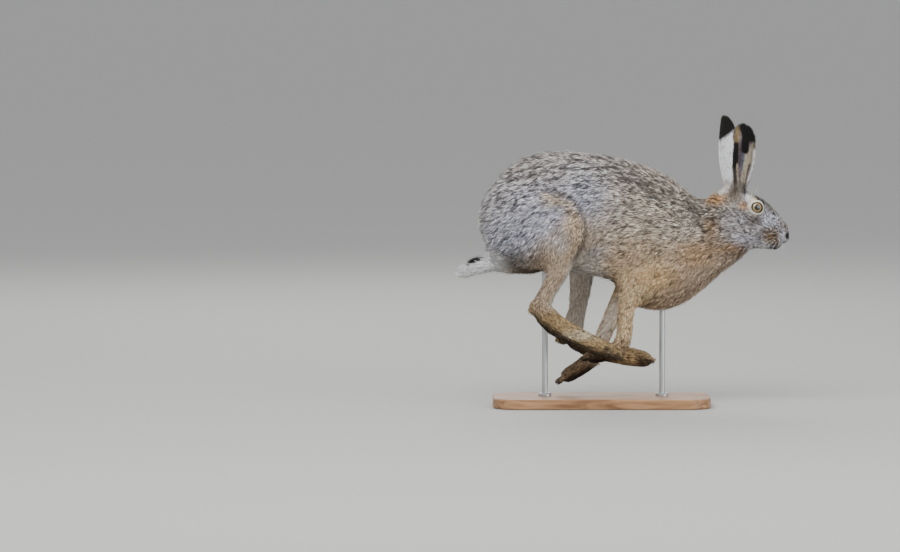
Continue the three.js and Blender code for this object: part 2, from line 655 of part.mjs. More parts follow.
// A leaf rolled about its length: nearly a tube at the root, open and flatter to the tip
function ear({ root, tip, back, bow }) {
  const rows = 16, columns = 10;
  const along = tip.clone().sub(root).normalize();
  const behind = back.clone().addScaledVector(along, -along.dot(back)).normalize();
  const side = along.clone().cross(behind);
  const positions = [];
  const length = tip.distanceTo(root);
  for (let row = 0; row < rows; row++) {
    const u = 1 - Math.pow(1 - row / (rows - 1), TIP_CROWDING);
    const opening = Math.sin(Math.min(1, u / EAR_WIDEST) * Math.PI / 2);
    const closing = Math.max(0, (u - EAR_WIDEST) / (1 - EAR_WIDEST));
    const leaf = Math.sqrt(Math.max(0, 1 - Math.pow(closing, 2.6)));
    const halfWidth = Math.max(2.2, EAR_HALF_WIDTH * (0.62 + 0.38 * opening) * leaf);
    const roll = THREE.MathUtils.lerp(7.5, 15.5, Math.min(1, u / 0.5)) + 3 * Math.max(0, u - 0.6);
    const bend = Math.sin(Math.PI * u) * bow;
    const middle = root.clone().addScaledVector(along, length * u).addScaledVector(behind, bend - roll * 0.7);
    const half = Math.min(halfWidth / roll, 2.5);
    for (const face of [1, -1]) for (let column = 0; column < columns; column++) {
      const v = (column / (columns - 1)) * 2 - 1;
      const thin = EAR_THICKNESS * (1 - 0.5 * v * v) * (1 - 0.35 * u) / 2;
      const angle = v * half;
      const radius = roll + face * thin;
      const point = middle.clone().addScaledVector(behind, radius * Math.cos(angle))
        .addScaledVector(side, radius * Math.sin(angle));
      positions.push(point.x, point.y, point.z);
    }
  }
  const triangles = [];
  const id = (row, face, column) => (row * 2 + face) * columns + column;
  const quad = (a, b, c, d) => triangles.push(a, b, c, a, c, d);
  for (let row = 0; row < rows - 1; row++) {
    for (let column = 0; column < columns - 1; column++) {
      quad(id(row, 0, column), id(row, 0, column + 1), id(row + 1, 0, column + 1), id(row + 1, 0, column));
      triangles.push(id(row, 1, column), id(row + 1, 1, column + 1), id(row, 1, column + 1));
      triangles.push(id(row, 1, column), id(row + 1, 1, column), id(row + 1, 1, column + 1));
    }
    quad(id(row, 1, 0), id(row, 0, 0), id(row + 1, 0, 0), id(row + 1, 1, 0));
    const edge = columns - 1;
    quad(id(row, 0, edge), id(row, 1, edge), id(row + 1, 1, edge), id(row + 1, 0, edge));
  }
  for (let column = 0; column < columns - 1; column++) {
    quad(id(0, 1, column), id(0, 1, column + 1), id(0, 0, column + 1), id(0, 0, column));
    const top = rows - 1;
    quad(id(top, 0, column), id(top, 0, column + 1), id(top, 1, column + 1), id(top, 1, column));
  }
  const geometry = new THREE.BufferGeometry();
  geometry.setAttribute('position', new THREE.Float32BufferAttribute(positions, 3));
  geometry.setIndex(triangles);
  return geometry;
}

// The tail: one smooth form out to its tip, held back level with the rump
function tail() {
  add('tail', toGeometry(rooted('tail', tubeOf(tailStations, TAIL_CUT, tailShape))), pale);
}

// A flat base with two rods, each with a collar at its foot and cut off at the top just under the coat
function stand(trunkGrown) {
  const { length, width, thickness, corner, bevel } = BASE;
  const x = length / 2 - bevel, y = width / 2 - bevel;
  const outline = new THREE.Shape();
  outline.moveTo(-x + corner, -y);
  outline.lineTo(x - corner, -y);
  outline.absarc(x - corner, -y + corner, corner, -Math.PI / 2, 0);
  outline.absarc(x - corner, y - corner, corner, 0, Math.PI / 2);
  outline.absarc(-x + corner, y - corner, corner, Math.PI / 2, Math.PI);
  outline.absarc(-x + corner, -y + corner, corner, Math.PI, Math.PI * 1.5);
  const plate = new THREE.ExtrudeGeometry(outline, {
    depth: thickness - 2 * bevel,
    bevelThickness: bevel,
    bevelSize: bevel,
    bevelSegments: 1,
    curveSegments: 6,
  });
  add('stand_base', toGeometry(toSolid(plate.translate(0, 0, bevel))), wood);
  const { radius, collarRadius, collarHeight } = ROD;
  const top = 200;
  const profile = [
    [0, 0],
    [collarRadius, 0],
    [collarRadius, collarHeight - 1],
    [collarRadius - 1, collarHeight],
    [radius, collarHeight],
    [radius, top],
    [0, top],
  ].map(([r, z]) => new THREE.Vector2(r, z));
  for (const [name, rodX] of [['front', ROD.frontX], ['rear', ROD.rearX]]) {
    const rod = new THREE.LatheGeometry(profile, 20).rotateX(Math.PI / 2).translate(rodX, 0, thickness + GAP);
    add(`stand_rod_${name}`, toGeometry(toSolid(rod).subtract(trunkGrown)), steel);
  }
}

trunkParts();
limb('right');
limb('left');
const grownHead = head();
for (const name of ['right', 'left']) {
  const material = name === 'right' ? flesh : pale;
  add(`ear_${name}`, toGeometry(toSolid(ear(ears[name])).subtract(grownHead)), material);
}
tail();
stand(trunkSurface(GAP));

export default hare;
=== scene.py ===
# %% [markdown]
# A brown hare at full gallop, as a life-size museum model on a stand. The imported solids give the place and
# size of every part. This lesson dresses them with one smooth skin, a coat of fur tufts, glass eyes, claws,
# whiskers, wood and steel.

# %% Load the frame
import math
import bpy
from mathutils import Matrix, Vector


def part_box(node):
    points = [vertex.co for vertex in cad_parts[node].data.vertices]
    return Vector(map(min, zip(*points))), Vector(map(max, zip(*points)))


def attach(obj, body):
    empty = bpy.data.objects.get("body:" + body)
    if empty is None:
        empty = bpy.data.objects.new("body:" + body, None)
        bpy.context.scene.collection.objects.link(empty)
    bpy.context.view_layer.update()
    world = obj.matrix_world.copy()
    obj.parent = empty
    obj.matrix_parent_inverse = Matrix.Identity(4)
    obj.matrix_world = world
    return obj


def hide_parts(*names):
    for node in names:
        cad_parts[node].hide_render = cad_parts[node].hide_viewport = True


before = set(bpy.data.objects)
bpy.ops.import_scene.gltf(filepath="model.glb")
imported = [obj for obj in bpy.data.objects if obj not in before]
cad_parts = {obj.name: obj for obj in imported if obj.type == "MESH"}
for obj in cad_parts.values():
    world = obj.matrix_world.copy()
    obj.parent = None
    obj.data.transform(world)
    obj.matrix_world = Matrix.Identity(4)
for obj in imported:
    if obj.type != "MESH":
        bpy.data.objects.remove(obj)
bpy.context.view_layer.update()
from types import SimpleNamespace
import bmesh
import bpy
import numpy as np
from mathutils import Matrix, Vector
from mathutils.bvhtree import BVHTree
from mathutils.kdtree import KDTree

MM = 0.001
SIDES = {"right": -1, "left": 1}

# %% [markdown]
# The camera stands far off with a long lens, a little above the animal's flank, as for the picture. Each of
# its 900 pixels spans 1.38 mm at the hare.

# %% Camera
PIXEL = 1.38 * MM
FRAME_WIDTH = 900 * PIXEL
CAMERA_DISTANCE = 8.0
CAMERA_ELEVATION = math.radians(4)
AIM = Vector((-209 * MM, 0, 180 * MM))


def new_object(name, data):
    obj = bpy.data.objects.new(name, data)
    bpy.context.scene.collection.objects.link(obj)
    return obj


camera = new_object("camera", bpy.data.cameras.new("camera"))
bpy.context.scene.camera = camera
backwards = Vector((0, -math.cos(CAMERA_ELEVATION), math.sin(CAMERA_ELEVATION)))
camera.location = AIM + backwards * CAMERA_DISTANCE
camera.rotation_euler = (-backwards).to_track_quat("-Z", "Y").to_euler()
camera.data.sensor_width = 36
camera.data.lens = camera.data.sensor_width * CAMERA_DISTANCE / FRAME_WIDTH
print("lens", round(camera.data.lens, 1), "mm")

# %% [markdown]
# Fur lies along lines from nose to tail, and from shoulder or hip to toes. A few lines inside the body tell
# every place which way its hair lies. Each also names a zone with its own hair. A place near two lines takes
# a mix, so no border shows.

# %% Lines along the body, in millimetres, the right side's at negative Y
ZONES = ["face", "crown", "back", "chest", "tail", "haunch", "thigh", "foot", "arm", "paw", "ear"]
LINES = [
    ("face", [(262, 0, 232), (240, 0, 246), (215, 0, 262), (198, 0, 274)]),
    ("face", [(240, 0, 222), (222, 0, 228), (200, 0, 238), (180, 0, 248)]),
    ("crown", [(198, 0, 276), (178, 0, 270), (158, 0, 256), (140, 0, 246)]),
    ("back", [(140, 0, 246), (110, 0, 240), (42, 0, 262), (-21, 0, 280), (-80, 0, 272), (-122, 0, 232)]),
    ("chest", [(200, 0, 232), (165, 0, 224), (141, 0, 203), (117, 0, 185), (86, 0, 168), (56, 0, 168),
               (5, 0, 195), (-70, 0, 205), (-130, 0, 205)]),
    ("tail", [(-132, 0, 204), (-150, 0, 198), (-168, 0, 195), (-198, 0, 180)]),
    ("haunch", [(-25, -48, 290), (-80, -62, 270), (-128, -48, 232)]),
    ("thigh", [(-44, -46, 252), (-54, -48, 216), (-61, -50, 190), (-74, -51, 163), (-90, -51, 141)]),
    ("foot", [(-96, -51, 143), (-69, -51, 120), (-42, -50, 103), (-10, -49, 88), (29, -47, 70)]),
    ("arm", [(58, -34, 184), (42, -31, 166), (33, -25, 126), (26, -20, 86)]),
    ("paw", [(27, -20, 86), (11, -19, 76), (-8, -18.5, 71.5), (-29, -18.5, 66)]),
    ("ear", [(186, -12, 289), (191, -22, 340), (199, -33, 391)]),
    ("haunch", [(-25, 48, 290), (-80, 62, 270), (-128, 48, 232)]),
    ("thigh", [(-30, 46, 240), (-27, 48, 196), (-28, 50, 165), (-32, 51, 130), (-48, 51, 98)]),
    ("foot", [(-57, 51, 92), (-22, 51, 81), (9, 50, 71), (40, 49, 64), (76, 48, 58)]),
    ("arm", [(56, 34, 184), (38, 31, 164), (10, 22, 110), (-10, 17, 68)]),
    ("paw", [(-9, 17, 68), (-27, 16, 53), (-42, 16, 43), (-63, 16, 30)]),
    ("ear", [(175, 12, 288), (172, 20, 345), (168, 25, 401)]),
]
BLEND_REACH = 4 * MM


def unit(vectors):
    return vectors / np.maximum(np.linalg.norm(vectors, axis=1, keepdims=True), 1e-9)


def segments():
    """Each short stretch of each line: its zone's number, its start and its end, in metres."""
    rows = []
    for zone, points in LINES:
        for start, end in zip(points, points[1:]):
            rows.append((ZONES.index(zone), np.array(start) * MM, np.array(end) * MM))
    return rows


def zones_and_lie(points):
    """For each point, the share of each zone and the direction in which the hair lies."""
    shares = np.zeros((len(points), len(ZONES)))
    lie = np.zeros((len(points), 3))
    for zone, start, end in segments():
        span = end - start
        along = np.clip(((points - start) @ span) / (span @ span), 0, 1)
        distance = np.linalg.norm(points - start - along[:, None] * span, axis=1)
        weight = 1 / (distance ** 2 + BLEND_REACH ** 2) ** 2
        shares[:, zone] += weight
        lie += weight[:, None] * span / np.linalg.norm(span)
    return shares / shares.sum(1, keepdims=True), unit(lie)


print(len(segments()), "stretches of line in", len(ZONES), "zones")

# %% [markdown]
# The solids are parted by thin cuts and have flat facets. One skin takes their place: swollen copies, joined
# and rebuilt by a voxel remesh. A boolean union would keep facets and creases.

# %% Join the flesh and remesh it
FLESH = ["head", "neck", "torso", "tail", "ear_right", "ear_left"] + [
    f"{part}_{side}" for side in SIDES
    for part in ("shoulder", "forearm", "forepaw", "haunch", "shank", "hind_foot")]
SWELL = 0.45 * MM
VOXEL = 1.25 * MM


def finished(obj):
    """The mesh that an object's modifiers make."""
    graph = bpy.context.evaluated_depsgraph_get()
    return bpy.data.meshes.new_from_object(obj.evaluated_get(graph))


def joined_flesh():
    joined = bmesh.new()
    for node in FLESH:
        part = bmesh.new()
        part.from_mesh(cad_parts[node].data)
        bmesh.ops.remove_doubles(part, verts=part.verts, dist=1e-6)
        part.normal_update()
        for vert in part.verts:
            vert.co += vert.normal * SWELL
        copy = bpy.data.meshes.new(node)
        part.to_mesh(copy)
        part.free()
        joined.from_mesh(copy)
        bpy.data.meshes.remove(copy)
    mesh = bpy.data.meshes.new("skin")
    joined.to_mesh(mesh)
    joined.free()
    return mesh


def place_arrays(mesh):
    """The places and normals of a mesh's points."""
    count = len(mesh.vertices)
    places, normals = np.empty(count * 3), np.empty(count * 3)
    mesh.vertices.foreach_get("co", places)
    mesh.vertices.foreach_get("normal", normals)
    return places.reshape(-1, 3), normals.reshape(-1, 3)


skin = new_object("skin", joined_flesh())
remesh = skin.modifiers.new("one net", "REMESH")
remesh.mode = "VOXEL"
remesh.voxel_size = VOXEL
skin.data = finished(skin)
skin.modifiers.clear()
print("skin net:", len(skin.data.vertices), "points")

# %% [markdown]
# Smoothing, depth of coat and length of hair are a number per zone, mixed by the shares above. Places near
# the eyes and nose are held back, so that small forms stay crisp.

# %% Numbers for each zone
ZONE_NUMBERS = {
    # smoothing, coat depth, hair length and width in mm, lift in degrees, crowding
    "face": (0.35, 1.2, 4.6, 0.5, 13, 1.8),
    "crown": (0.8, 2.6, 8.0, 0.75, 15, 1.2),
    "back": (1.0, 5.5, 15.0, 1.05, 17, 1.0),
    "chest": (1.0, 4.5, 13.0, 1.0, 16, 1.0),
    "tail": (0.3, 7.0, 13.0, 1.1, 36, 5.0),
    "haunch": (0.9, 4.5, 13.0, 1.0, 15, 1.0),
    "thigh": (0.5, 2.2, 9.0, 0.8, 13, 1.0),
    "foot": (0.25, 1.0, 7.0, 0.75, 12, 1.1),
    "arm": (0.6, 2.0, 8.0, 0.8, 12, 1.0),
    "paw": (0.3, 1.0, 5.5, 0.65, 12, 1.1),
    "ear": (0.06, 0.5, 4.2, 0.45, 8, 1.2),
}
SMOOTHING, DEPTH, LENGTH, WIDTH, LIFT, CROWDING = (
    np.array(column) for column in zip(*ZONE_NUMBERS.values()))
EYES = {side: sum(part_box(f"eye_{side}"), Vector()) / 2 for side in SIDES}
EYE_RADIUS = (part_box("eye_right")[1].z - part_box("eye_right")[0].z) / 2
NOSE = Vector((261, 0, 236)) * MM


def rise(values, low, high):
    """0 up to the low value, 1 from the high one, and a soft rise between them."""
    ramp = np.clip((values - low) / (high - low), 0, 1)
    return ramp * ramp * (3 - 2 * ramp)


def near(points, centre, inner, outer):
    """1 within the inner distance of a place, falling to 0 at the outer one."""
    distance = np.linalg.norm(points - np.array(centre), axis=1)
    return rise(-distance, -outer, -inner)


def held_back(points):
    """1 where a small form of the head must stay crisp."""
    held = near(points, NOSE, 9 * MM, 18 * MM)
    for centre in EYES.values():
        held = np.maximum(held, near(points, centre, 13 * MM, 18 * MM))
    return held


print("eyes", round(EYE_RADIUS * 2 / MM, 1), "mm across")

# %% [markdown]
# The remesh leaves thin claws ragged, so they are smoothed away and clean ones set there later. Their roots
# follow from each foot's row of toes.

# %% Places of the claws
TOES = [
    # start and end in millimetres, half the spread, a toe's radius, how far the claws drop
    ((6, -48, 80), (29, -47.5, 70), 12, 5.2, 0.25),
    ((54, 48, 62), (76, 47.5, 58), 12, 5.2, 0.25),
    ((-8, -18.5, 71.5), (-29, -18.5, 66), 8.5, 4.4, -0.15),
    ((-42, 16, 43.5), (-63, 16, 30), 8.5, 4.4, -0.15),
]
TOES_A_FOOT = 4
FAN, BOW = 0.1, 0.13               # how the toes spread out, and how much the outer ones are shorter
ROOT_SPREAD, ROOT_BACK = 0.72, 0.8


def claw_places():
    """The root and heading of each claw, as the solids have them."""
    for start, end, spread, radius, drop in TOES:
        start, end = Vector(start), Vector(end)
        length, heading = (end - start).length, (end - start).normalized()
        for toe in range(TOES_A_FOOT):
            share = toe / (TOES_A_FOOT - 1) * 2 - 1
            lean = (heading + Vector((0, FAN * share, 0))).normalized()
            reach = length * (1 - BOW * share * share) - radius * ROOT_BACK
            root = start + Vector((0, spread * share * ROOT_SPREAD, 0)) + lean * reach
            yield root * MM, (lean - Vector((0, 0, drop))).normalized()


claws = list(claw_places())
print(len(claws), "claws")

# %% [markdown]
# Each point moves towards the middle of its neighbours, again and again, most on the trunk. The net then
# sinks by the coat's depth, so that the fur ends where the solids do.

# %% Smooth the net and sink it
ROUNDS, LAST_ROUNDS = 60, 4
STEP = 0.75                 # the most of the way that a point moves in a round
CRISP = 0.93                # how much of that is taken off at the eyes and nose
CLAW_MIDDLE = 6.5           # millimetres from a claw's root
THIN_COAT = 0.8             # how much thinner the coat is at the eyes and nose


def smoothed(mesh, rounds, strength):
    """Moves each point towards the middle of its neighbours, by its own strength."""
    count = len(mesh.vertices)
    places, _ = place_arrays(mesh)
    edges = np.empty(len(mesh.edges) * 2, dtype=np.int64)
    mesh.edges.foreach_get("vertices", edges)
    a, b = edges[0::2], edges[1::2]
    degree = np.bincount(a, minlength=count) + np.bincount(b, minlength=count)
    for _ in range(rounds):
        total = np.zeros_like(places)
        for axis in range(3):
            total[:, axis] = (np.bincount(a, weights=places[b, axis], minlength=count)
                              + np.bincount(b, weights=places[a, axis], minlength=count))
        middle = total / np.maximum(degree, 1)[:, None]
        places += (middle - places) * strength[:, None]
    mesh.vertices.foreach_set("co", places.ravel())
    mesh.update()


places, normals = place_arrays(skin.data)
shares, _ = zones_and_lie(places)
strength = STEP * (shares @ SMOOTHING) ** 2 * (1 - CRISP * held_back(places))
for root, heading in claws:
    spike = near(places, root + heading * CLAW_MIDDLE * MM, 5.5 * MM, 7.5 * MM)
    strength = np.maximum(strength, 0.7 * spike)
smoothed(skin.data, ROUNDS, strength)
places, normals = place_arrays(skin.data)
depth = (shares @ DEPTH) * MM * (1 - THIN_COAT * held_back(places))
places -= normals * (depth + SWELL * 0.6)[:, None]
skin.data.vertices.foreach_set("co", places.ravel())
skin.data.update()
smoothed(skin.data, LAST_ROUNDS, strength)
print("coat depth from", round(depth.min() / MM, 1), "to", round(depth.max() / MM, 1), "mm")

# %% [markdown]
# The even net has more faces than the trunk needs. A collapse decimation thins it, least on the head, ears
# and feet. It is quick, and fur hides its uneven triangles.

# %% Thin the net
SKIN_TRIANGLES = 185000
WEIGHT_LEVELS = 10


def triangle_count(mesh):
    return sum(len(face.vertices) - 2 for face in mesh.polygons)


def thin(obj, triangles, keep=None):
    """Collapses an object's mesh to a number of triangles, least where keep is near 1."""
    reduce = obj.modifiers.new("thin", "DECIMATE")
    reduce.ratio = min(1, triangles / triangle_count(obj.data))
    if keep is not None:
        group = obj.vertex_groups.new(name="keep")
        for level in range(1, WEIGHT_LEVELS + 1):
            chosen = np.nonzero(np.round(keep * WEIGHT_LEVELS) == level)[0]
            group.add(chosen.tolist(), level / WEIGHT_LEVELS, "REPLACE")
        reduce.vertex_group = "keep"
        reduce.invert_vertex_group = True
        reduce.vertex_group_factor = 3
    obj.data = finished(obj)
    obj.modifiers.clear()
    obj.vertex_groups.clear()


places, _ = place_arrays(skin.data)
shares, _ = zones_and_lie(places)
fine = shares[:, [ZONES.index(zone) for zone in ("face", "ear", "paw", "foot")]].sum(1)
thin(skin, SKIN_TRIANGLES, np.clip(fine, 0, 1))
for face in skin.data.polygons:
    face.use_smooth = True
print("skin:", triangle_count(skin.data), "triangles")

# %% [markdown]
# A hare is grey-buff with black flecks, rusty on neck and legs, and white on the tail. Each zone has a tone
# and a share of black-tipped locks, the ticking. Numbers per zone keep borders soft and need no picture.

# %% Tones of the zones


def tone(code):
    """A web colour as linear light."""
    channels = [int(code[i:i + 2], 16) / 255 for i in (1, 3, 5)]
    return np.array([c / 12.92 if c <= 0.04045 else ((c + 0.055) / 1.055) ** 2.4 for c in channels])


def mix(colours, other, share):
    return colours + (other - colours) * share[:, None]


BLACK = tone("#16120f")
BRIGHTEN = 1.17       # shadows between hairs darken a coat, so it is painted lighter
BRIGHTEST = 0.95      # no real hair is whiter
ZONE_COLOURS = {
    "face": ("#9d9a9f", 0.52), "crown": ("#8d8478", 0.46), "back": ("#b4aa9e", 0.16),
    "chest": ("#b39f89", 0.06), "tail": ("#fbfbfc", 0.0), "haunch": ("#b6b5c0", 0.04),
    "thigh": ("#b9a48e", 0.02), "foot": ("#a28963", 0.12), "arm": ("#e2c49e", 0.04),
    "paw": ("#7d684f", 0.20), "ear": ("#a59d92", 0.10),
}
ZONE_TONES = np.array([tone(code) for code, _ in ZONE_COLOURS.values()])
TICKED = np.array([ticked for _, ticked in ZONE_COLOURS.values()])
print("ticking from", TICKED.min(), "to", TICKED.max())

# %% [markdown]
# Over the zones lie soft spots: a place, a reach along each axis, a colour and a strength, the same on both
# sides. Rows of numbers are easy to mend.

# %% Soft marks, in millimetres from the middle of the base
MARKS = [
    ((184, 26, 257), (21, 16, 17), "#918f95", 0.5),
    ((196, 20, 277), (6, 12, 6), "#ab8263", 0.9),
    ((208, 19, 287), (6, 14, 6), "#ddcda8", 1.0),
    ((200, 19, 290), (7, 14, 7), "#f1eef2", 1.0),
    ((213, 22, 257), (12, 12, 7), "#4f453d", 0.85),
    ((231, 16, 257), (10, 12, 11), "#b4b5c6", 0.85),
    ((238, 6, 274), (15, 10, 12), "#6f6a5e", 0.9),
    ((250, 0, 254), (6, 7, 12), "#a39a86", 0.6),
    ((233, 16, 233), (16, 15, 15), "#5a4422", 1.0),
    ((250, 11, 233), (5, 9, 9), "#c6c5ce", 0.9),
    ((254, 5, 247), (7, 9, 5), "#86786a", 0.8),
    ((198, 16, 232), (24, 16, 10), "#c8c6d1", 0.85),
    ((219, 8, 221), (17, 14, 7), "#dbd9da", 0.8),
    ((243, 6, 220), (9, 10, 5), "#55535c", 0.8),
    ((176, 16, 222), (26, 24, 9), "#8a6d50", 0.85),
    ((160, 10, 286), (14, 18, 9), "#bd8f60", 0.9),
    ((167, 8, 300), (10, 16, 8), "#f3ebe1", 0.95),
    ((183, 16, 294), (12, 16, 13), "#5d5144", 0.85),
    ((196, 17, 296), (3.5, 12, 12), "#141110", 1.0),
    ((217, 15, 287), (5, 12, 3.5), "#2b2119", 1.0),
    ((223, 15, 281), (4.5, 12, 5), "#2b2119", 1.0),
    ((153, 34, 250), (12, 20, 24), "#8d7154", 0.75),
    ((188, 10, 214), (21, 18, 5), "#77654f", 0.8),
    ((74, 34, 186), (38, 28, 18), "#bb9a70", 0.9),
    ((47, 36, 205), (17, 20, 17), "#aa9580", 0.7),
    ((128, 34, 214), (34, 22, 18), "#ab8b66", 0.75),
    ((-57, 56, 235), (15, 20, 17), "#c4bfbd", 0.75),
    ((-40, 54, 262), (10, 18, 18), "#bfa78b", 0.85),
    ((-63, 58, 288), (19, 18, 11), "#a89a86", 0.7),
    ((-37, 54, 104), (30, 14, 8), "#c7b79c", 0.8),
    ((-5, 42, 216), (19, 30, 15), "#b3afb1", 0.7),
    # The next three marks are painted shade, behind the thigh at the tail's base and under the haunch.
    ((-88, 34, 212), (15, 28, 10), "#513e2d", 0.9),
    ((-112, 34, 212), (17, 36, 16), "#4f4840", 0.8),
    ((-92, 20, 192), (26, 40, 12), "#5f5144", 0.85),
    ((-134, 10, 203), (14, 24, 10), "#b9b8bb", 0.9),
    ((-6, 52, 76), (15, 14, 7), "#2c231d", 0.85),
]


def soft_marks(at, colours, ticked):
    for (cx, cy, cz), (rx, ry, rz), code, strength in MARKS:
        away = ((at.x - cx) / rx) ** 2 + ((at.side - cy) / ry) ** 2 + ((at.z - cz) / rz) ** 2
        mask = strength * np.exp(-away ** 1.5)
        colours = mix(colours, tone(code), mask)
        ticked = ticked * (1 - 0.6 * mask)
    return colours, ticked


print(len(MARKS), "marks over", len(ZONES), "zone colours")

# %% [markdown]
# Some markings follow the form: a pale belly, dark soles, the black top of the tail. Each mask reads the way
# the skin faces and its zone, so it fits by itself.

# %% Masks that follow the form
TOES_FROM = {"right": -8, "left": 40}


def underside(at):
    """The pale belly, inner sides of the legs and fronts of the thighs."""
    belly = (at.trunk * rise(at.down, 0.25, 0.8) * rise(-at.x, -35, 5)
             * rise(at.x, -75, -45))
    inner = (at.thigh + at.arm) * rise(at.inward, 0.2, 0.75)
    front = at.thigh * rise(at.forward, 0.35, 0.85) * (1 - rise(at.z, 215, 240))
    return np.clip(belly + 0.7 * inner + 0.6 * front, 0, 1)


def soles(at):
    sole = (at.foot * rise(at.down, 0.0, 0.5) * rise(-at.x, -90, 60)
            + at.paw * rise(at.down, -0.2, 0.6))
    return np.clip(sole, 0, 1)


def toes(at):
    start = np.where(at.left, TOES_FROM["left"], TOES_FROM["right"])
    return at.foot * rise(at.x - start, 0, 12) * rise(at.down, -0.75, -0.2)


def tail_top(at):
    return (rise(at.tail, 0.25, 0.5) * rise(at.up, 0.45, 0.65)
            * rise(at.x, -180, -174) * (1 - rise(at.x, -154, -146)))


def throat(at):
    return rise(-at.z, -240, -222) * rise(at.x, 70, 100) * (1 - rise(at.x, 188, 204))


def upper_side(at):
    return rise(at.up, 0.08, 0.55) * (1 - at.face - at.ear - at.tail)


print("six masks")

# %% [markdown]
# The bent thigh has a light edge with painted shade in the crease before it, and the darkest streaks run from
# back to neck. Both follow lines drawn as seen from the side.

# %% The thigh's edge and the withers, as x and z in millimetres
KNEE_LINE = [(-66, 296), (-48, 293), (-34, 284), (-27, 268), (-26, 250), (-30, 232), (-40, 214), (-50, 196)]
FAR_KNEE = (14, -12)        # how much further forward and lower the far leg's line lies
WITHERS = [(-10, 334), (25, 322), (67, 299), (122, 275), (157, 252)]
# a pale edge on the thigh, and the colour of the painted shade in the crease before it
THIGH_EDGE, THIGH_CREASE_SHADE = tone("#c8b196"), tone("#5c534b")


def line_distance(x, z, start, end):
    """How far places seen from the side lie from a line between two points."""
    dx, dz = end[0] - start[0], end[1] - start[1]
    along = np.clip(((x - start[0]) * dx + (z - start[1]) * dz) / (dx * dx + dz * dz), 0, 1)
    return np.hypot(x - start[0] - along * dx, z - start[1] - along * dz)


def before_thigh(at):
    """How far each place lies in front of the thigh's front edge, and less than 0 behind it."""
    x, z = at.x - at.left * FAR_KNEE[0], at.z - at.left * FAR_KNEE[1]
    away, front = [], []
    for a, b in zip(KNEE_LINE, KNEE_LINE[1:]):
        away.append(line_distance(x, z, a, b))
        front.append(np.sign((z - a[1]) * (b[0] - a[0]) - (x - a[0]) * (b[1] - a[1])))
    nearest = np.argmin(away, axis=0)[None]
    return np.take_along_axis(np.array(away) * front, nearest, 0)[0]


def thigh_edge_and_crease_shade(at, colours):
    away = before_thigh(at)
    flank = rise(at.side, 22, 34) * rise(at.z, 200, 214)
    edge = flank * rise(-away, 0, 2) * rise(away, -16, -5)
    # painted shade in the crease just in front of the thigh
    crease_shade = flank * (rise(away, 0, 1.5) * (1 - rise(away, 4, 11)))
    return mix(mix(colours, THIGH_EDGE, edge * 0.7), THIGH_CREASE_SHADE, crease_shade * 0.75)


def withers(at):
    away = np.min([line_distance(at.x, at.z, a, b) for a, b in zip(WITHERS, WITHERS[1:])], axis=0)
    return ((1 - rise(away, 5, 20)) * at.trunk.clip(0, 1) * rise(at.side, 6, 16)
            * rise(at.x, -15, 60))


print(len(KNEE_LINE), "points on the thigh's edge and", len(WITHERS), "along the withers")

# %% [markdown]
# A hare's ear is white behind, with a black tip. The near ear also shows its inner side, painted as short
# strokes laid over each other.

# %% Ears
EAR_STROKES = [
    # both ends as x and z, half the width, a colour and its strength
    ((192, 363), (190, 333), 3.6, "#544449", 0.9),
    ((194, 350), (192, 323), 3.0, "#626275", 0.9),
    ((186, 382), (182, 358), 4.1, "#8f7b55", 0.9),
    ((183, 360), (182, 328), 5.0, "#141112", 0.97),
    ((182, 326), (184, 304), 3.3, "#4a4238", 0.85),
    ((185, 333), (187, 304), 1.8, "#b8ab98", 0.8),
    ((202, 352), (195, 312), 5.5, "#aea490", 0.95),
    ((208, 361), (205, 333), 3.4, "#8e8674", 0.9),
    ((203, 332), (199, 307), 3.0, "#463c31", 0.85),
    ((196, 385), (205, 372), 10.0, "#0f0d0d", 1.0),
    ((197, 380), (196, 353), 6.0, "#0f0d0d", 1.0),
]
EAR_WHITE, EAR_LINING = tone("#eeeef2"), tone("#75666a")
SOFT_EDGE = (0.65, 1.15)    # where a stroke starts to fade and where it ends, as shares of its width


def ear_markings(at, colours, ticked):
    """A black tip, a white back to the ear, and inside it dark strokes beside a buff fringe."""
    inner = rise(at.forward * 0.35 + at.outward * 0.85, -0.1, 0.3)
    tip_line = np.where(at.left, 369 + 0.75 * (at.x - 171), 362 - 0.5 * (at.x - 194))
    tip = rise(at.z, tip_line - 3, tip_line + 3) * rise(at.ear, 0.4, 0.7)
    back = mix(mix(colours, EAR_WHITE, rise(at.z, 300, 318) * 0.95), BLACK, tip)
    lining = mix(mix(colours, EAR_LINING, np.full(len(at.x), 0.85)), BLACK, tip * at.left * 0.95)
    for start, end, reach, code, strength in EAR_STROKES:
        distance = line_distance(at.x, at.z, start, end)
        stroke = 1 - rise(distance, SOFT_EDGE[0] * reach, SOFT_EDGE[1] * reach)
        lining = mix(lining, tone(code), strength * stroke * at.right)
    ear = back + (lining - back) * inner[:, None]
    weight = rise(at.ear, 0.35, 0.6) * rise(at.z, 300, 311)
    return mix(colours, ear, weight), ticked * (1 - 0.7 * weight)


print(len(EAR_STROKES), "strokes in the near ear")

# %% [markdown]
# The eye sits in an oval of bare dark lid, with a cream ring of fur outside, both measured across the eye's
# axis.

# %% Rims of the eyes
EYE_AXES = {side: unit(np.array([[0.22, 0.97 * sign, 0.10]]))[0] for side, sign in SIDES.items()}
LID_LINE = np.array([0.96, 0, -0.28])           # from the back corner of the lids to the front one
LID_LENGTH, LID_HEIGHT = 7.8 * MM, 6.8 * MM     # half the opening's size
CREAM, LID = tone("#eadfcb"), tone("#1a1310")


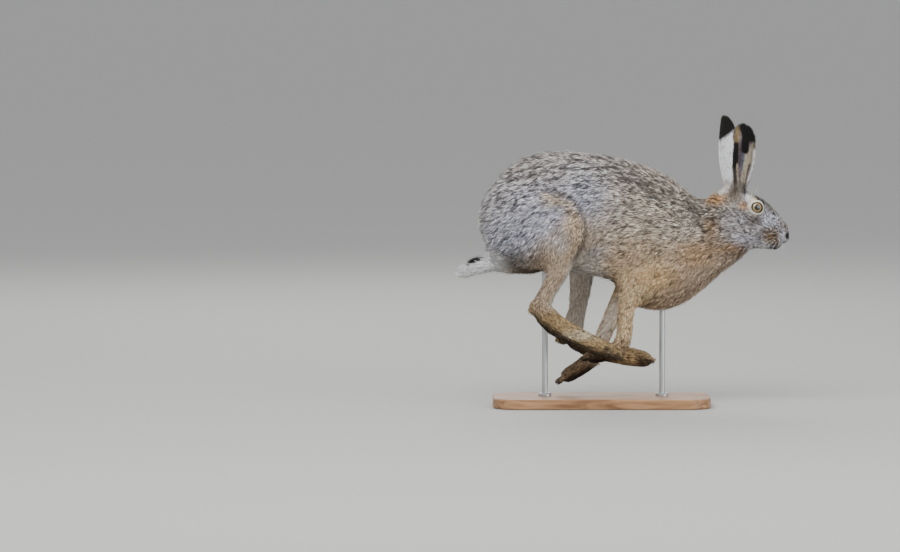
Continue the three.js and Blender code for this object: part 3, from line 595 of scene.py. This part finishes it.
def eye_markings(at, colours):
    """A thin dark rim round the lids' opening, and a cream ring outside it."""
    for side, axis in EYE_AXES.items():
        away = at.points - np.array(EYES[side])
        along = LID_LINE - axis * (LID_LINE @ axis)
        along /= np.linalg.norm(along)
        reach = np.hypot(away @ along / LID_LENGTH, away @ np.cross(axis, along) / LID_HEIGHT)
        outward = away @ axis > 0
        ring = rise(reach, 1.0, 1.15) * (1 - rise(reach, 1.3, 1.6)) * outward
        rim = (1 - rise(reach, 1.06, 1.18)) * outward
        colours = mix(mix(colours, CREAM, ring), LID, rim)
    return colours


print("lids", round(2 * LID_LENGTH / MM, 1), "by", round(2 * LID_HEIGHT / MM, 1), "mm")

# %% [markdown]
# One function brings all markings and painted shade together. Skin and fur both ask it, so the skin between
# tufts never shows a wrong colour. The skin is darker, in the fur's shade.

# %% The whole coat's colours
UNDERSIDE, SOLE, TOE, NOSTRIL = tone("#cfc8bf"), tone("#1f1813"), tone("#41352a"), tone("#1d1816")
NOSTRIL_PLACE = Vector((258, 7.5, 236)) * MM
SKIN_SHADE = 0.65
MOST_TICKED = 0.85


def spots_at(points, normals):
    """All that the markings ask about each point, with places in millimetres."""
    shares, _ = zones_and_lie(points)
    share = {zone: shares[:, i] for i, zone in enumerate(ZONES)}
    sign = np.sign(points[:, 1])
    return SimpleNamespace(
        points=points, shares=shares, **share,
        x=points[:, 0] / MM, side=np.abs(points[:, 1]) / MM, z=points[:, 2] / MM,
        left=points[:, 1] > 0, right=points[:, 1] < 0,
        forward=normals[:, 0], up=normals[:, 2], down=-normals[:, 2],
        outward=sign * normals[:, 1], inward=-sign * normals[:, 1],
        trunk=share["back"] + share["chest"] + share["haunch"] + share["thigh"])


def markings_and_painted_shade(points, normals):
    """The colour of the coat at each point, painted shade included, and the share of its locks that have
    black tips.
    """
    at = spots_at(points, normals)
    colours, ticked = soft_marks(at, at.shares @ ZONE_TONES, at.shares @ TICKED)
    pale = underside(at)
    colours, ticked = mix(colours, UNDERSIDE, pale), ticked * (1 - pale)
    colours = mix(colours, SOLE, soles(at) * 0.94)
    colours = mix(colours, BLACK, tail_top(at))
    colours = thigh_edge_and_crease_shade(at, colours)
    colours = mix(colours, TOE, toes(at) * 0.85)
    ticked = ticked * (1 - 0.85 * throat(at))
    ticked = ticked + 0.36 * upper_side(at) * rise(at.z, 225, 250)
    band = withers(at)
    colours = colours * (1 - 0.16 * band)[:, None]
    ticked = np.clip(ticked + 0.38 * band, 0, MOST_TICKED)
    colours, ticked = ear_markings(at, colours, ticked)
    colours = eye_markings(at, colours)
    mirrored = np.stack([points[:, 0], np.abs(points[:, 1]), points[:, 2]], 1)
    colours = mix(colours, NOSTRIL, near(mirrored, NOSTRIL_PLACE, 4.2 * MM, 7 * MM) * 0.95)
    return np.clip(colours * BRIGHTEN, 0, BRIGHTEST), ticked


def paint(mesh, colours):
    """Keeps a colour for each point of a mesh."""
    layer = mesh.color_attributes.new("Coat", "FLOAT_COLOR", "POINT")
    layer.data.foreach_set("color", np.concatenate([colours, np.ones((len(colours), 1))], 1).ravel())


places, normals = place_arrays(skin.data)
skin_colours, _ = markings_and_painted_shade(places, normals)
paint(skin.data, skin_colours * SKIN_SHADE)
print("painted", len(places), "points of the skin")

# %% [markdown]
# Materials are built from nodes. These helpers start a material, add a node, join sockets and set the stops
# of a colour ramp.

# %% Helpers for materials

def rgba(code):
    return (*tone(code), 1)


def set_inputs(made, values):
    for key, value in values.items():
        made.inputs[key].default_value = value
    return made


def material(name, values):
    """A new material, its node tree, and its shader with the given values."""
    made = bpy.data.materials.new(name)
    made.use_nodes = True
    return made, made.node_tree, set_inputs(made.node_tree.nodes["Principled BSDF"], values)


def plain_material(name, code, roughness):
    return material(name, {"Base Color": rgba(code), "Roughness": roughness})[0]


def node(tree, kind, values=None, **settings):
    """A new shader node, with its settings and the values of its inputs."""
    made = tree.nodes.new("ShaderNode" + kind)
    for key, value in settings.items():
        setattr(made, key, value)
    return set_inputs(made, values or {})


def wire(tree, *links):
    """Joins nodes. Each link is a node, its output, the next node and its input."""
    for source, output, target, place in links:
        tree.links.new(source.outputs[output], target.inputs[place])


def set_stops(ramp, stops):
    """Positions and web colours for a colour ramp."""
    elements = ramp.color_ramp.elements
    for element, (position, code) in zip(elements, (stops[0], stops[-1])):
        element.position, element.color = position, rgba(code)
    for position, code in stops[1:-1]:
        elements.new(position).color = rgba(code)


def mesh_from(shape, name, finish):
    """Turns a bmesh into a mesh with one material."""
    mesh = bpy.data.meshes.new(name)
    shape.to_mesh(mesh)
    shape.free()
    mesh.materials.append(finish)
    return mesh


print("helpers ready")

# %% [markdown]
# Fur and skin share one look: hardly any shine, and fine lines from a noise. A node group holds the noise,
# and each material places it with its own values.

# %% Materials for skin and fur
STRAND_DEPTH = 0.4 * MM


def strand_group():
    """A node group that varies a colour by a noise, and puts out a height for a bump."""
    tree = bpy.data.node_groups.new("hair strands", "ShaderNodeTree")
    for way, label, kind in (("INPUT", "Vector", "Vector"), ("INPUT", "Scale", "Float"),
                             ("INPUT", "Colour", "Color"), ("INPUT", "Contrast", "Float"),
                             ("OUTPUT", "Colour", "Color"), ("OUTPUT", "Height", "Float")):
        tree.interface.new_socket(label, in_out=way, socket_type="NodeSocket" + kind)
    start, end = tree.nodes.new("NodeGroupInput"), tree.nodes.new("NodeGroupOutput")
    noise = node(tree, "TexNoise", {"Detail": 3})
    spread = node(tree, "MapRange", {"From Min": 0.3, "From Max": 0.7})
    shade = node(tree, "MixRGB", blend_type="OVERLAY")
    wire(tree, (start, "Vector", noise, "Vector"), (start, "Scale", noise, "Scale"),
         (noise, "Fac", spread, "Value"), (start, "Contrast", shade, "Fac"),
         (start, "Colour", shade, "Color1"), (spread, "Result", shade, "Color2"),
         (shade, "Color", end, "Colour"), (noise, "Fac", end, "Height"))
    return tree


STRANDS = strand_group()


def hair_material(name, uv_name, scale, contrast, roughness):
    """Hair that reads the painted colours, on a UV map of its own or on Object coordinates."""
    made, tree, shader = material(name, {"Roughness": roughness, "Specular IOR Level": 0.25})
    colour = node(tree, "VertexColor", layer_name="Coat")
    strands = node(tree, "Group", {"Scale": scale, "Contrast": contrast}, node_tree=STRANDS)
    where = node(tree, "UVMap", uv_map=uv_name) if uv_name else node(tree, "TexCoord")
    bump = node(tree, "Bump", {"Distance": STRAND_DEPTH, "Strength": 0.5})
    wire(tree, (where, "UV" if uv_name else "Object", strands, "Vector"),
         (colour, "Color", strands, "Colour"), (strands, "Height", bump, "Height"),
         (bump, "Normal", shader, "Normal"), (strands, "Colour", shader, "Base Color"))
    return made


skin.data.materials.clear()
skin.data.materials.append(hair_material("skin under the fur", None, 900, 0.35, 0.8))
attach(skin, "root")
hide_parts(*FLESH)
print("skin takes the place of", len(FLESH), "solids")

# %% [markdown]
# To export its colours, each tuft needs a small patch on a flat map of the body. Unwrapping the fine net is
# slow, so a thinned copy is unwrapped, and each root looks up the nearest place on it.

# %% A flat map of the body
MAP_FACES = 7000
PATCH = 0.003


def unwrapped_copy():
    copy = new_object("map_of_the_body", skin.data.copy())
    thin(copy, MAP_FACES)
    bpy.ops.object.select_all(action="DESELECT")
    bpy.context.view_layer.objects.active = copy
    copy.select_set(True)
    bpy.ops.object.mode_set(mode="EDIT")
    bpy.ops.mesh.select_all(action="SELECT")
    bpy.ops.uv.smart_project(angle_limit=math.radians(66), island_margin=0.004)
    bpy.ops.object.mode_set(mode="OBJECT")
    mesh = copy.data
    mesh.calc_loop_triangles()
    corners = [tuple(t.vertices) for t in mesh.loop_triangles]
    flat = [[mesh.uv_layers.active.data[i].uv.copy() for i in t.loops] for t in mesh.loop_triangles]
    points = [v.co.copy() for v in mesh.vertices]
    bpy.data.objects.remove(copy)
    return BVHTree.FromPolygons(points, corners), points, corners, flat


MAP_TREE, MAP_POINTS, MAP_CORNERS, MAP_FLAT = unwrapped_copy()


def barycentric(place, a, b, c):
    """The weights of a triangle's three corners at a place on it."""
    ab, ac, ap = b - a, c - a, place - a
    d00, d01, d11, d20, d21 = ab.dot(ab), ab.dot(ac), ac.dot(ac), ap.dot(ab), ap.dot(ac)
    whole = max(d00 * d11 - d01 * d01, 1e-18)
    v, w = (d11 * d20 - d01 * d21) / whole, (d00 * d21 - d01 * d20) / whole
    return 1 - v - w, v, w


def flat_places(points):
    """Where each point lies on the flat map."""
    found = np.empty((len(points), 2))
    for i, point in enumerate(points):
        place, _, face, _ = MAP_TREE.find_nearest(Vector(point))
        weights = barycentric(place, *(MAP_POINTS[k] for k in MAP_CORNERS[face]))
        found[i] = sum((w * uv for w, uv in zip(weights, MAP_FLAT[face])), Vector((0, 0)))
    return np.clip(found, PATCH, 1 - PATCH)


print("map:", len(MAP_CORNERS), "faces")

# %% [markdown]
# A tuft is a thin wedge: a root sunk in the skin, a bend and a point. Arrays repeat, turn and vary it.
# Particle hair is lost in an export. Roots stand closer where tufts are smaller.

# %% Roots of the tufts
TUFTS = 150000
LID_EDGE = (EYE_RADIUS * 1.12, EYE_RADIUS * 1.26)    # no hair grows on the lids' edge
rng = np.random.default_rng(7)


def scatter(mesh, count):
    """Root places and normals over a mesh."""
    places, normals = place_arrays(mesh)
    mesh.calc_loop_triangles()
    corners = np.empty(len(mesh.loop_triangles) * 3, dtype=np.int64)
    mesh.loop_triangles.foreach_get("vertices", corners)
    corners = corners.reshape(-1, 3)
    a, b, c = (places[corners[:, i]] for i in range(3))
    middle = (a + b + c) / 3
    area = np.linalg.norm(np.cross(b - a, c - a), axis=1) / 2
    shares, _ = zones_and_lie(middle)
    footprint = (shares @ LENGTH) * (shares @ WIDTH) / (shares @ CROWDING)
    bare = np.zeros(len(middle))
    for centre in EYES.values():
        bare = np.maximum(bare, near(middle, centre, *LID_EDGE))
    chance = area / footprint ** 0.9 * (1 - bare)
    chosen = rng.choice(len(corners), size=count, p=chance / chance.sum())
    u, v = rng.random(count), rng.random(count)
    flip = u + v > 1
    u[flip], v[flip] = 1 - u[flip], 1 - v[flip]
    weights = np.stack([1 - u - v, u, v], 1)
    spot = sum(weights[:, i, None] * places[corners[chosen, i]] for i in range(3))
    normal = sum(weights[:, i, None] * normals[corners[chosen, i]] for i in range(3))
    return spot, normal / np.linalg.norm(normal, axis=1, keepdims=True)


roots, root_normals = scatter(skin.data, TUFTS)
print(len(roots), "tufts")

# %% [markdown]
# Hairs lean together in locks. Each tuft bends its tip towards the nearest lock place, and shares its
# heading, shade and black or pale tips. Noise for each hair alone would look like sand.

# %% Locks
LOCKS = 42000
LOCK_NUMBERS = {
    # how hairs lean together, headings sway, shades vary and black locks form streaks
    "face": (0.5, 0.20, 0.50, 0),
    "crown": (0.7, 0.28, 0.34, 0.6),
    "back": (0.75, 0.30, 0.24, 1),
    "chest": (0.6, 0.24, 0.19, 1),
    "tail": (0.5, 0.14, 0.10, 0),
    "haunch": (0.6, 0.20, 0.20, 1),
    "thigh": (0.45, 0.14, 0.10, 0.5),
    "foot": (0.45, 0.15, 0.20, 0),
    "arm": (0.45, 0.12, 0.13, 0.3),
    "paw": (0.4, 0.15, 0.22, 0),
    "ear": (0.2, 0.08, 0.10, 0),
}
CLUMPING, SWAY, UNEVEN, STREAKED = (np.array(column) for column in zip(*LOCK_NUMBERS.values()))
lock_places = roots[rng.choice(len(roots), LOCKS, replace=False)]
lock_draws = rng.random(LOCKS)
lock_shades, lock_sways = rng.normal(0, 1, LOCKS), rng.normal(0, 1, LOCKS)
lock_tree = KDTree(LOCKS)
for i, place in enumerate(lock_places):
    lock_tree.insert(place, i)
lock_tree.balance()
print(LOCKS, "locks")

# %% [markdown]
# On the back, black locks form long wavy streaks. A sum of waves, long along the spine and short across it,
# decides which locks are black, in place of chance.

# %% Streaks along the back, with the spine as x and z in millimetres
SPINE = [(178, 262), (140, 246), (110, 240), (42, 250), (-21, 262), (-80, 256), (-112, 226)]
RIB_RADIUS = 62
WAVES = 40
STREAK_LENGTH, STREAK_WIDTHS = 34, (5.6, 10.5)
STREAK_CONTRAST = 1.7
streak_rng = np.random.default_rng(21)
ALONG = streak_rng.normal(0, 2 * math.pi / STREAK_LENGTH, WAVES)
ACROSS = streak_rng.choice([-1, 1], WAVES) * 2 * math.pi / streak_rng.uniform(*STREAK_WIDTHS, WAVES)
PHASES = streak_rng.uniform(0, 2 * math.pi, WAVES)


def streaks(points):
    """Long wavy streaks that run with the back's line, as numbers between 0 and 1."""
    x, y, z = (points / MM).T
    along, across, nearest = np.zeros(len(x)), np.zeros(len(x)), np.full(len(x), np.inf)
    travelled = 0.0
    for (x0, z0), (x1, z1) in zip(SPINE, SPINE[1:]):
        run = np.array([x1 - x0, z1 - z0])
        length = np.linalg.norm(run)
        run = run / length
        dx, dz = x - x0, z - z0
        t = np.clip(dx * run[0] + dz * run[1], 0, length)
        up = dx * run[1] - dz * run[0]
        distance = np.hypot(np.hypot(dx - t * run[0], dz - t * run[1]), y)
        closer = distance < nearest
        nearest = np.where(closer, distance, nearest)
        along = np.where(closer, travelled + t, along)
        across = np.where(closer, np.arctan2(y, up) * RIB_RADIUS, across)
        travelled += length
    field = np.zeros(len(x))
    for k, q, phase in zip(ALONG, ACROSS, PHASES):
        field += np.cos(k * along + q * across + phase)
    return 1 / (1 + np.exp(-STREAK_CONTRAST * field * math.sqrt(2 / WAVES)))


print(WAVES, "waves in the streaks")

# %% [markdown]
# Each tuft rises by its zone's lift, but never higher than the coat is deep. One in twenty is a longer guard
# hair that breaks the outline, as in real fur.

# %% Shape of the tufts
CORNERS_OF_TUFT = np.array([(0, 1, 4), (0, 4, 3), (1, 2, 5), (1, 5, 4), (2, 0, 3), (2, 3, 5), (3, 4, 6),
                            (4, 5, 6), (5, 3, 6), (0, 2, 1)])
POINTS_OF_TUFT = 7
GUARD_HAIRS, GUARD_LENGTH, GUARD_LIFT, GUARD_DEPTH = 0.05, 1.2, 1.7, 1.5
THICKNESS = 0.28            # of a tuft's width
BEND_WIDTH = 0.85           # a tuft's width at its bend


def tuft_points(own, spots, normals, shares, lie, lock):
    """Seven points for each tuft: three at the sunken root, three at the bend, and the tip."""
    count = len(spots)
    lie = unit(lie - normals * np.sum(lie * normals, axis=1, keepdims=True))
    across = np.cross(lie, normals)
    lie = unit(lie + across * (lock_sways[lock] * (shares @ SWAY))[:, None])
    across = np.cross(lie, normals)
    guard = own.random(count) < GUARD_HAIRS
    calm = 1 - held_back(spots)
    length = (shares @ LENGTH) * MM * own.uniform(0.7, 1.2, count) * (0.55 + 0.45 * calm)
    length *= np.where(guard, GUARD_LENGTH, 1.0)
    width = (shares @ WIDTH) * MM * own.uniform(0.75, 1.25, count) * (0.7 + 0.3 * calm)
    sway = own.normal(0, 0.12, count)
    lift = np.radians(shares @ LIFT) * own.uniform(0.6, 1.35, count)
    lift *= np.where(guard, GUARD_LIFT, 1.0)
    coat = shares @ DEPTH * MM * np.where(guard, GUARD_DEPTH, 1.0)
    heading = unit(lie + across * sway[:, None])
    to_lock = np.sum((lock_places[lock] - spots) * across, axis=1) * (shares @ CLUMPING)
    height = np.minimum(length * np.sin(lift), coat)
    middle = spots + heading * (0.5 * length * np.cos(lift))[:, None] + across * (0.35 * to_lock)[:, None]
    middle = middle + normals * (0.75 * height)[:, None]
    tip = spots + unit(heading + across * (0.5 * sway)[:, None]) * (length * np.cos(lift))[:, None]
    tip = tip + across * to_lock[:, None] + normals * height[:, None]
    sunk = spots - normals * (0.25 * width + 0.2 * MM)[:, None]
    half, thick = (width * 0.5)[:, None], (width * THICKNESS)[:, None]
    return np.stack([
        sunk - across * half, sunk + across * half, sunk - normals * thick,
        middle - across * half * BEND_WIDTH, middle + across * half * BEND_WIDTH, middle - normals * thick,
        tip], 1).reshape(-1, 3)


print(len(CORNERS_OF_TUFT), "triangles a tuft")

# %% [markdown]
# Each tuft has three tones, as a hare's hair has: a darker root, which is grey underfur and also painted
# shade deep in the coat, a pale or buff band, and a tip that is often black. Tail and ear roots stay white.

# %% Colours of the tufts
BLACK_IN_DARK_LOCKS, STRAY_BLACK, LIGHT_TIPS = 0.88, 0.10, 0.4
# A root is darker as grey underfur and as painted shade deep in the coat.
ROOT_SHADE, WHITE_ROOTS, BLACK_HAIR_SHADE, BAND_SHADE = 0.5, 0.45, 0.30, 1.02


def tuft_colours(own, spots, normals, shares, lock):
    """A colour for each of a tuft's seven points."""
    count = len(spots)
    colours, ticked = markings_and_painted_shade(spots, normals)
    shade = np.exp(lock_shades[lock] * (shares @ UNEVEN) + own.normal(0, 0.13, count))[:, None]
    warmth = own.normal(0, 0.03, count)
    warmed = np.stack([1 + warmth, np.ones(count), 1 - warmth], 1)
    body = np.clip(colours * shade * warmed, 0.004, BRIGHTEST)
    body = np.clip(body * (1 + 0.5 * ticked)[:, None], 0, BRIGHTEST)
    streaked = shares @ STREAKED
    draws = np.where(streaked > 0.5, streaks(lock_places[lock]), lock_draws[lock])
    body = np.clip(body * (1 + 0.45 * streaked * (draws - 0.5))[:, None], 0, BRIGHTEST)
    chance = np.where(draws < ticked, BLACK_IN_DARK_LOCKS, STRAY_BLACK * (ticked > 0.02))
    black = own.random(count) < chance
    light = (own.random(count) < LIGHT_TIPS) & ~black
    black = black[:, None]
    shine = (1.4 + 0.5 * shares[:, :2].sum(1))[:, None]
    white = shares[:, ZONES.index("tail")] + shares[:, ZONES.index("ear")]
    tips = np.where(black, BLACK, np.where(light[:, None], np.clip(body * shine, 0, BRIGHTEST), body))
    bands = np.where(black, body * BLACK_HAIR_SHADE, body * BAND_SHADE)
    bases = body * (ROOT_SHADE + WHITE_ROOTS * white)[:, None]
    return np.stack([bases] * 3 + [bands] * 3 + [tips], 1).reshape(-1, 3)


print("three tones a tuft")

# %% [markdown]
# The coat is eight meshes, as one would be too big a file. Whole arrays of points and faces take seconds
# where tufts one by one would take minutes.

# %% Grow the tufts
LAYERS = 8
PATCH_OF_TUFT = np.array([(0, 0), (1, 0), (0.5, 0), (0, 0.5), (1, 0.5), (0.5, 0.5), (0.5, 1)])
STRANDS_SPREAD = 50
FUR = hair_material("fur", "Strands", 5.0, 0.35, 0.75)


def mesh_of(name, points, faces):
    """A smooth mesh from arrays of points and triangles."""
    mesh = bpy.data.meshes.new(name)
    mesh.vertices.add(len(points))
    mesh.vertices.foreach_set("co", points.ravel())
    mesh.loops.add(faces.size)
    mesh.loops.foreach_set("vertex_index", faces.ravel())
    mesh.polygons.add(len(faces))
    mesh.polygons.foreach_set("loop_start", np.arange(0, faces.size, 3))
    mesh.polygons.foreach_set("use_smooth", np.ones(len(faces), dtype=bool))
    mesh.update(calc_edges=True)
    return mesh


def grow(name, spots, normals, seed):
    """One piece of the coat, with tufts on the given roots."""
    own = np.random.default_rng(seed)
    count = len(spots)
    shares, lie = zones_and_lie(spots)
    lock = np.array([lock_tree.find(spot)[1] for spot in spots])
    points = tuft_points(own, spots, normals, shares, lie, lock)
    faces = (np.arange(count)[:, None, None] * POINTS_OF_TUFT + CORNERS_OF_TUFT[None]).reshape(-1, 3)
    mesh = mesh_of(name, points, faces)
    paint(mesh, tuft_colours(own, spots, normals, shares, lock))
    flat = flat_places(spots)[:, None, :]
    for map_name, size, offset in (("OFBake", PATCH, flat - PATCH / 2),
                                   ("Strands", 1.0, own.random((count, 1, 2)) * STRANDS_SPREAD)):
        uv = (offset + PATCH_OF_TUFT[None] * size).reshape(-1, 2)[faces.ravel()]
        mesh.uv_layers.new(name=map_name).data.foreach_set("uv", uv.ravel())
    mesh.materials.append(FUR)
    obj = new_object(name, mesh)
    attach(obj, "root")
    return obj


order = rng.permutation(len(roots))
for number, part in enumerate(np.array_split(order, LAYERS), start=1):
    tufts = grow(f"fur_layer_{number}", roots[part], root_normals[part], 100 + number)
    print(tufts.name, len(tufts.data.polygons), "triangles")

# %% [markdown]
# A hare's eye is a large glossy ball, its iris drawn by the angle from the eye's axis. A clear coat gives the
# wet shine, so no second shell is needed.

# %% Eyes
IRIS, PUPIL = 38, 22        # degrees from the axis
RAMP_FROM = 0.6             # the cosine at which the colour ramp starts


def eye_material(name, centre, axis):
    made, tree, shader = material(name, {"Roughness": 0.12, "Coat Weight": 0.45, "Coat Roughness": 0.02})
    where = node(tree, "TexCoord")
    centred = node(tree, "VectorMath", {1: centre}, operation="SUBTRACT")
    straight = node(tree, "VectorMath", operation="NORMALIZE")
    facing = node(tree, "VectorMath", {1: axis}, operation="DOT_PRODUCT")
    spread = node(tree, "MapRange", {"From Min": RAMP_FROM})
    ramp = node(tree, "ValToRGB")
    iris, pupil = ((math.cos(math.radians(angle)) - RAMP_FROM) / (1 - RAMP_FROM) for angle in (IRIS, PUPIL))
    # The iris's ochre is its own colour, painted darker all round as painted shade from the lids.
    set_stops(ramp, [(0.0, "#2a211c"), (iris - 0.10, "#3a2f2a"), (iris, "#584838"), (iris + 0.14, "#94804f"),
                     (pupil - 0.06, "#7d673c"), (pupil, "#0b0a0c"), (1.0, "#050507")])
    wire(tree, (where, "Object", centred, 0), (centred, "Vector", straight, 0),
         (straight, "Vector", facing, 0), (facing, "Value", spread, "Value"),
         (spread, "Result", ramp, "Fac"), (ramp, "Color", shader, "Base Color"))
    return made


for side in SIDES:
    axis = Vector(EYE_AXES[side])
    ball = bmesh.new()
    bmesh.ops.create_uvsphere(ball, u_segments=48, v_segments=32, radius=EYE_RADIUS)
    bmesh.ops.rotate(ball, verts=ball.verts, matrix=axis.to_track_quat("Z", "Y").to_matrix())
    bmesh.ops.translate(ball, verts=ball.verts, vec=EYES[side])
    mesh = mesh_from(ball, f"glass_eye_{side}", eye_material(f"eye {side}", EYES[side], axis))
    for face in mesh.polygons:
        face.use_smooth = True
    eye = new_object(f"glass_eye_{side}", mesh)
    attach(eye, "root")
    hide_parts(f"eye_{side}")
    print(eye.name, len(mesh.polygons), "faces")

# %% [markdown]
# The claws are plain dark cones from a bmesh operator, as blunt as a running animal wears them. Fur covers
# all but their tips.

# %% Claws
CLAW_LENGTH, CLAW_ROOT, CLAW_TIP = 6 * MM, 1.6 * MM, 0.5 * MM
CLAW_FORWARD = 1.2          # millimetres from its root to its middle
horn = bmesh.new()
for root, heading in claws:
    turn = heading.to_track_quat("Z", "Y").to_matrix().to_4x4()
    bmesh.ops.create_cone(horn, cap_ends=True, segments=12, radius1=CLAW_ROOT, radius2=CLAW_TIP,
                          depth=CLAW_LENGTH,
                          matrix=Matrix.Translation(root + heading * CLAW_FORWARD * MM) @ turn)
claw_piece = new_object("claws", mesh_from(horn, "claws", plain_material("dark horn", "#3b332c", 0.4)))
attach(claw_piece, "root")
print(len(claws), "claws,", len(claw_piece.data.polygons), "faces")

# %% [markdown]
# Whiskers are long and tapered, in rows beside the nose, with a few over the eye. Each is a row of ever
# smaller rings, bridged into a thin cone with a slight droop.

# %% Whiskers
WHISKER_STEPS = 7
WHISKER_TIP = 0.02 * MM
ROWS, COLUMNS, BROW_HAIRS = 4, 4, 3


def whisker(mesh, root, heading, length, radius, droop):
    """Adds one tapered hair to a bmesh, as rings that are bridged one after another."""
    place, ring = Vector(root), None
    for step in range(WHISKER_STEPS + 1):
        share = step / WHISKER_STEPS
        direction = (heading + Vector((0, 0, -droop * share))).normalized()
        turn = direction.to_track_quat("Z", "Y").to_matrix().to_4x4()
        made = bmesh.ops.create_circle(mesh, cap_ends=step in (0, WHISKER_STEPS), segments=5,
                                       radius=radius * (1 - share) + WHISKER_TIP,
                                       matrix=Matrix.Translation(place) @ turn)
        edges = list({edge for vert in made["verts"] for edge in vert.link_edges})
        if ring:
            bmesh.ops.bridge_loops(mesh, edges=ring + edges)
        ring = edges
        place = place + direction * (length / WHISKER_STEPS)


whisker_rng = np.random.default_rng(3)
hairs = bmesh.new()
for sign in SIDES.values():
    for row in range(ROWS):
        for column in range(COLUMNS):
            root = Vector((249 - 4.2 * column, sign * (11.5 + 1.4 * column), 239 - 3.6 * row)) * MM
            heading = Vector((0.25 - 0.28 * column, sign * 1.0, 0.22 - 0.20 * row))
            heading += Vector(whisker_rng.normal(0, 0.1, 3))
            whisker(hairs, root, heading, (34 + 6 * column) * MM, 0.16 * MM, 0.35)
    for brow in range(BROW_HAIRS):
        root = Vector((205 + 4 * brow, sign * 21, 289)) * MM
        whisker(hairs, root, Vector((0.1 * brow, sign * 0.7, 0.8)), 24 * MM, 0.13 * MM, 0.3)
whiskers = new_object("whiskers", mesh_from(hairs, "whiskers", plain_material("whisker", "#d8d2c8", 0.35)))
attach(whiskers, "root")
print("whiskers:", len(whiskers.data.polygons), "faces")

# %% [markdown]
# The stand isn't in the photograph, and is plain so that it takes no attention. Its solids have the right
# shape and only get finishes, whose figure is a stretched noise.

# %% Wood and steel
BOARD_STRETCH, ROD_STRETCH = (3, 26, 26), (1800, 1800, 40)


def stretched_noise(tree, stretch, values):
    """A noise on Object coordinates, drawn out by a Mapping node."""
    where = node(tree, "TexCoord")
    mapping = node(tree, "Mapping", {"Scale": stretch})
    noise = node(tree, "TexNoise", values)
    wire(tree, (where, "Object", mapping, "Vector"), (mapping, "Vector", noise, "Vector"))
    return noise


def wood_material():
    made, tree, shader = material("oiled wood", {"Roughness": 0.42})
    rings = stretched_noise(tree, BOARD_STRETCH, {"Scale": 3.2, "Detail": 8, "Distortion": 1.2})
    ramp = node(tree, "ValToRGB")
    set_stops(ramp, [(0.35, "#6d4a2d"), (0.65, "#a9805a")])
    bump = node(tree, "Bump", {"Strength": 0.15, "Distance": 0.3 * MM})
    wire(tree, (rings, "Fac", ramp, "Fac"), (ramp, "Color", shader, "Base Color"),
         (rings, "Fac", bump, "Height"), (bump, "Normal", shader, "Normal"))
    return made


def steel_material():
    made, tree, shader = material("brushed steel", {"Base Color": rgba("#b9bbbd"), "Metallic": 1.0})
    grain = stretched_noise(tree, ROD_STRETCH, {"Scale": 1.0})
    rough = node(tree, "MapRange", {"To Min": 0.25, "To Max": 0.45})
    wire(tree, (grain, "Fac", rough, "Value"), (rough, "Result", shader, "Roughness"))
    return made


steel = steel_material()
for name, finish in (("stand_base", wood_material()), ("stand_rod_front", steel), ("stand_rod_rear", steel)):
    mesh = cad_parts[name].data
    mesh.materials.clear()
    mesh.materials.append(finish)
    print(name, "in", finish.name)

# %% [markdown]
# A plain pale floor and three large soft lamps show the shape without hard shadows.

# %% Floor and light
FLOOR_SIZE = 150
LIT_PLACE = Vector((0.03, 0, 0.22))
LAMPS = [
    # name, place and size in metres, watts
    ("main", (-0.6, -1.8, 2.2), 1.6, 80),
    ("fill", (2.0, -1.6, 0.9), 2.0, 46),
    ("back", (-0.5, 2.0, 1.8), 1.6, 36),
]
grid = bmesh.new()
bmesh.ops.create_grid(grid, x_segments=1, y_segments=1, size=FLOOR_SIZE)
stage_floor = new_object("floor", mesh_from(grid, "floor", plain_material("pale floor", "#a3a29e", 0.9)))
for name, place, size, watts in LAMPS:
    light = bpy.data.lights.new(name, "AREA")
    light.size = size
    light.energy = watts
    lamp = new_object(name, light)
    lamp.location = place
    lamp.rotation_euler = (LIT_PLACE - Vector(place)).to_track_quat("-Z", "Y").to_euler()
world = bpy.data.worlds.new("soft room")
world.use_nodes = True
set_inputs(world.node_tree.nodes["Background"], {"Color": rgba("#e4e7ea"), "Strength": 1.1})
bpy.context.scene.world = world
print(len(LAMPS), "lamps")
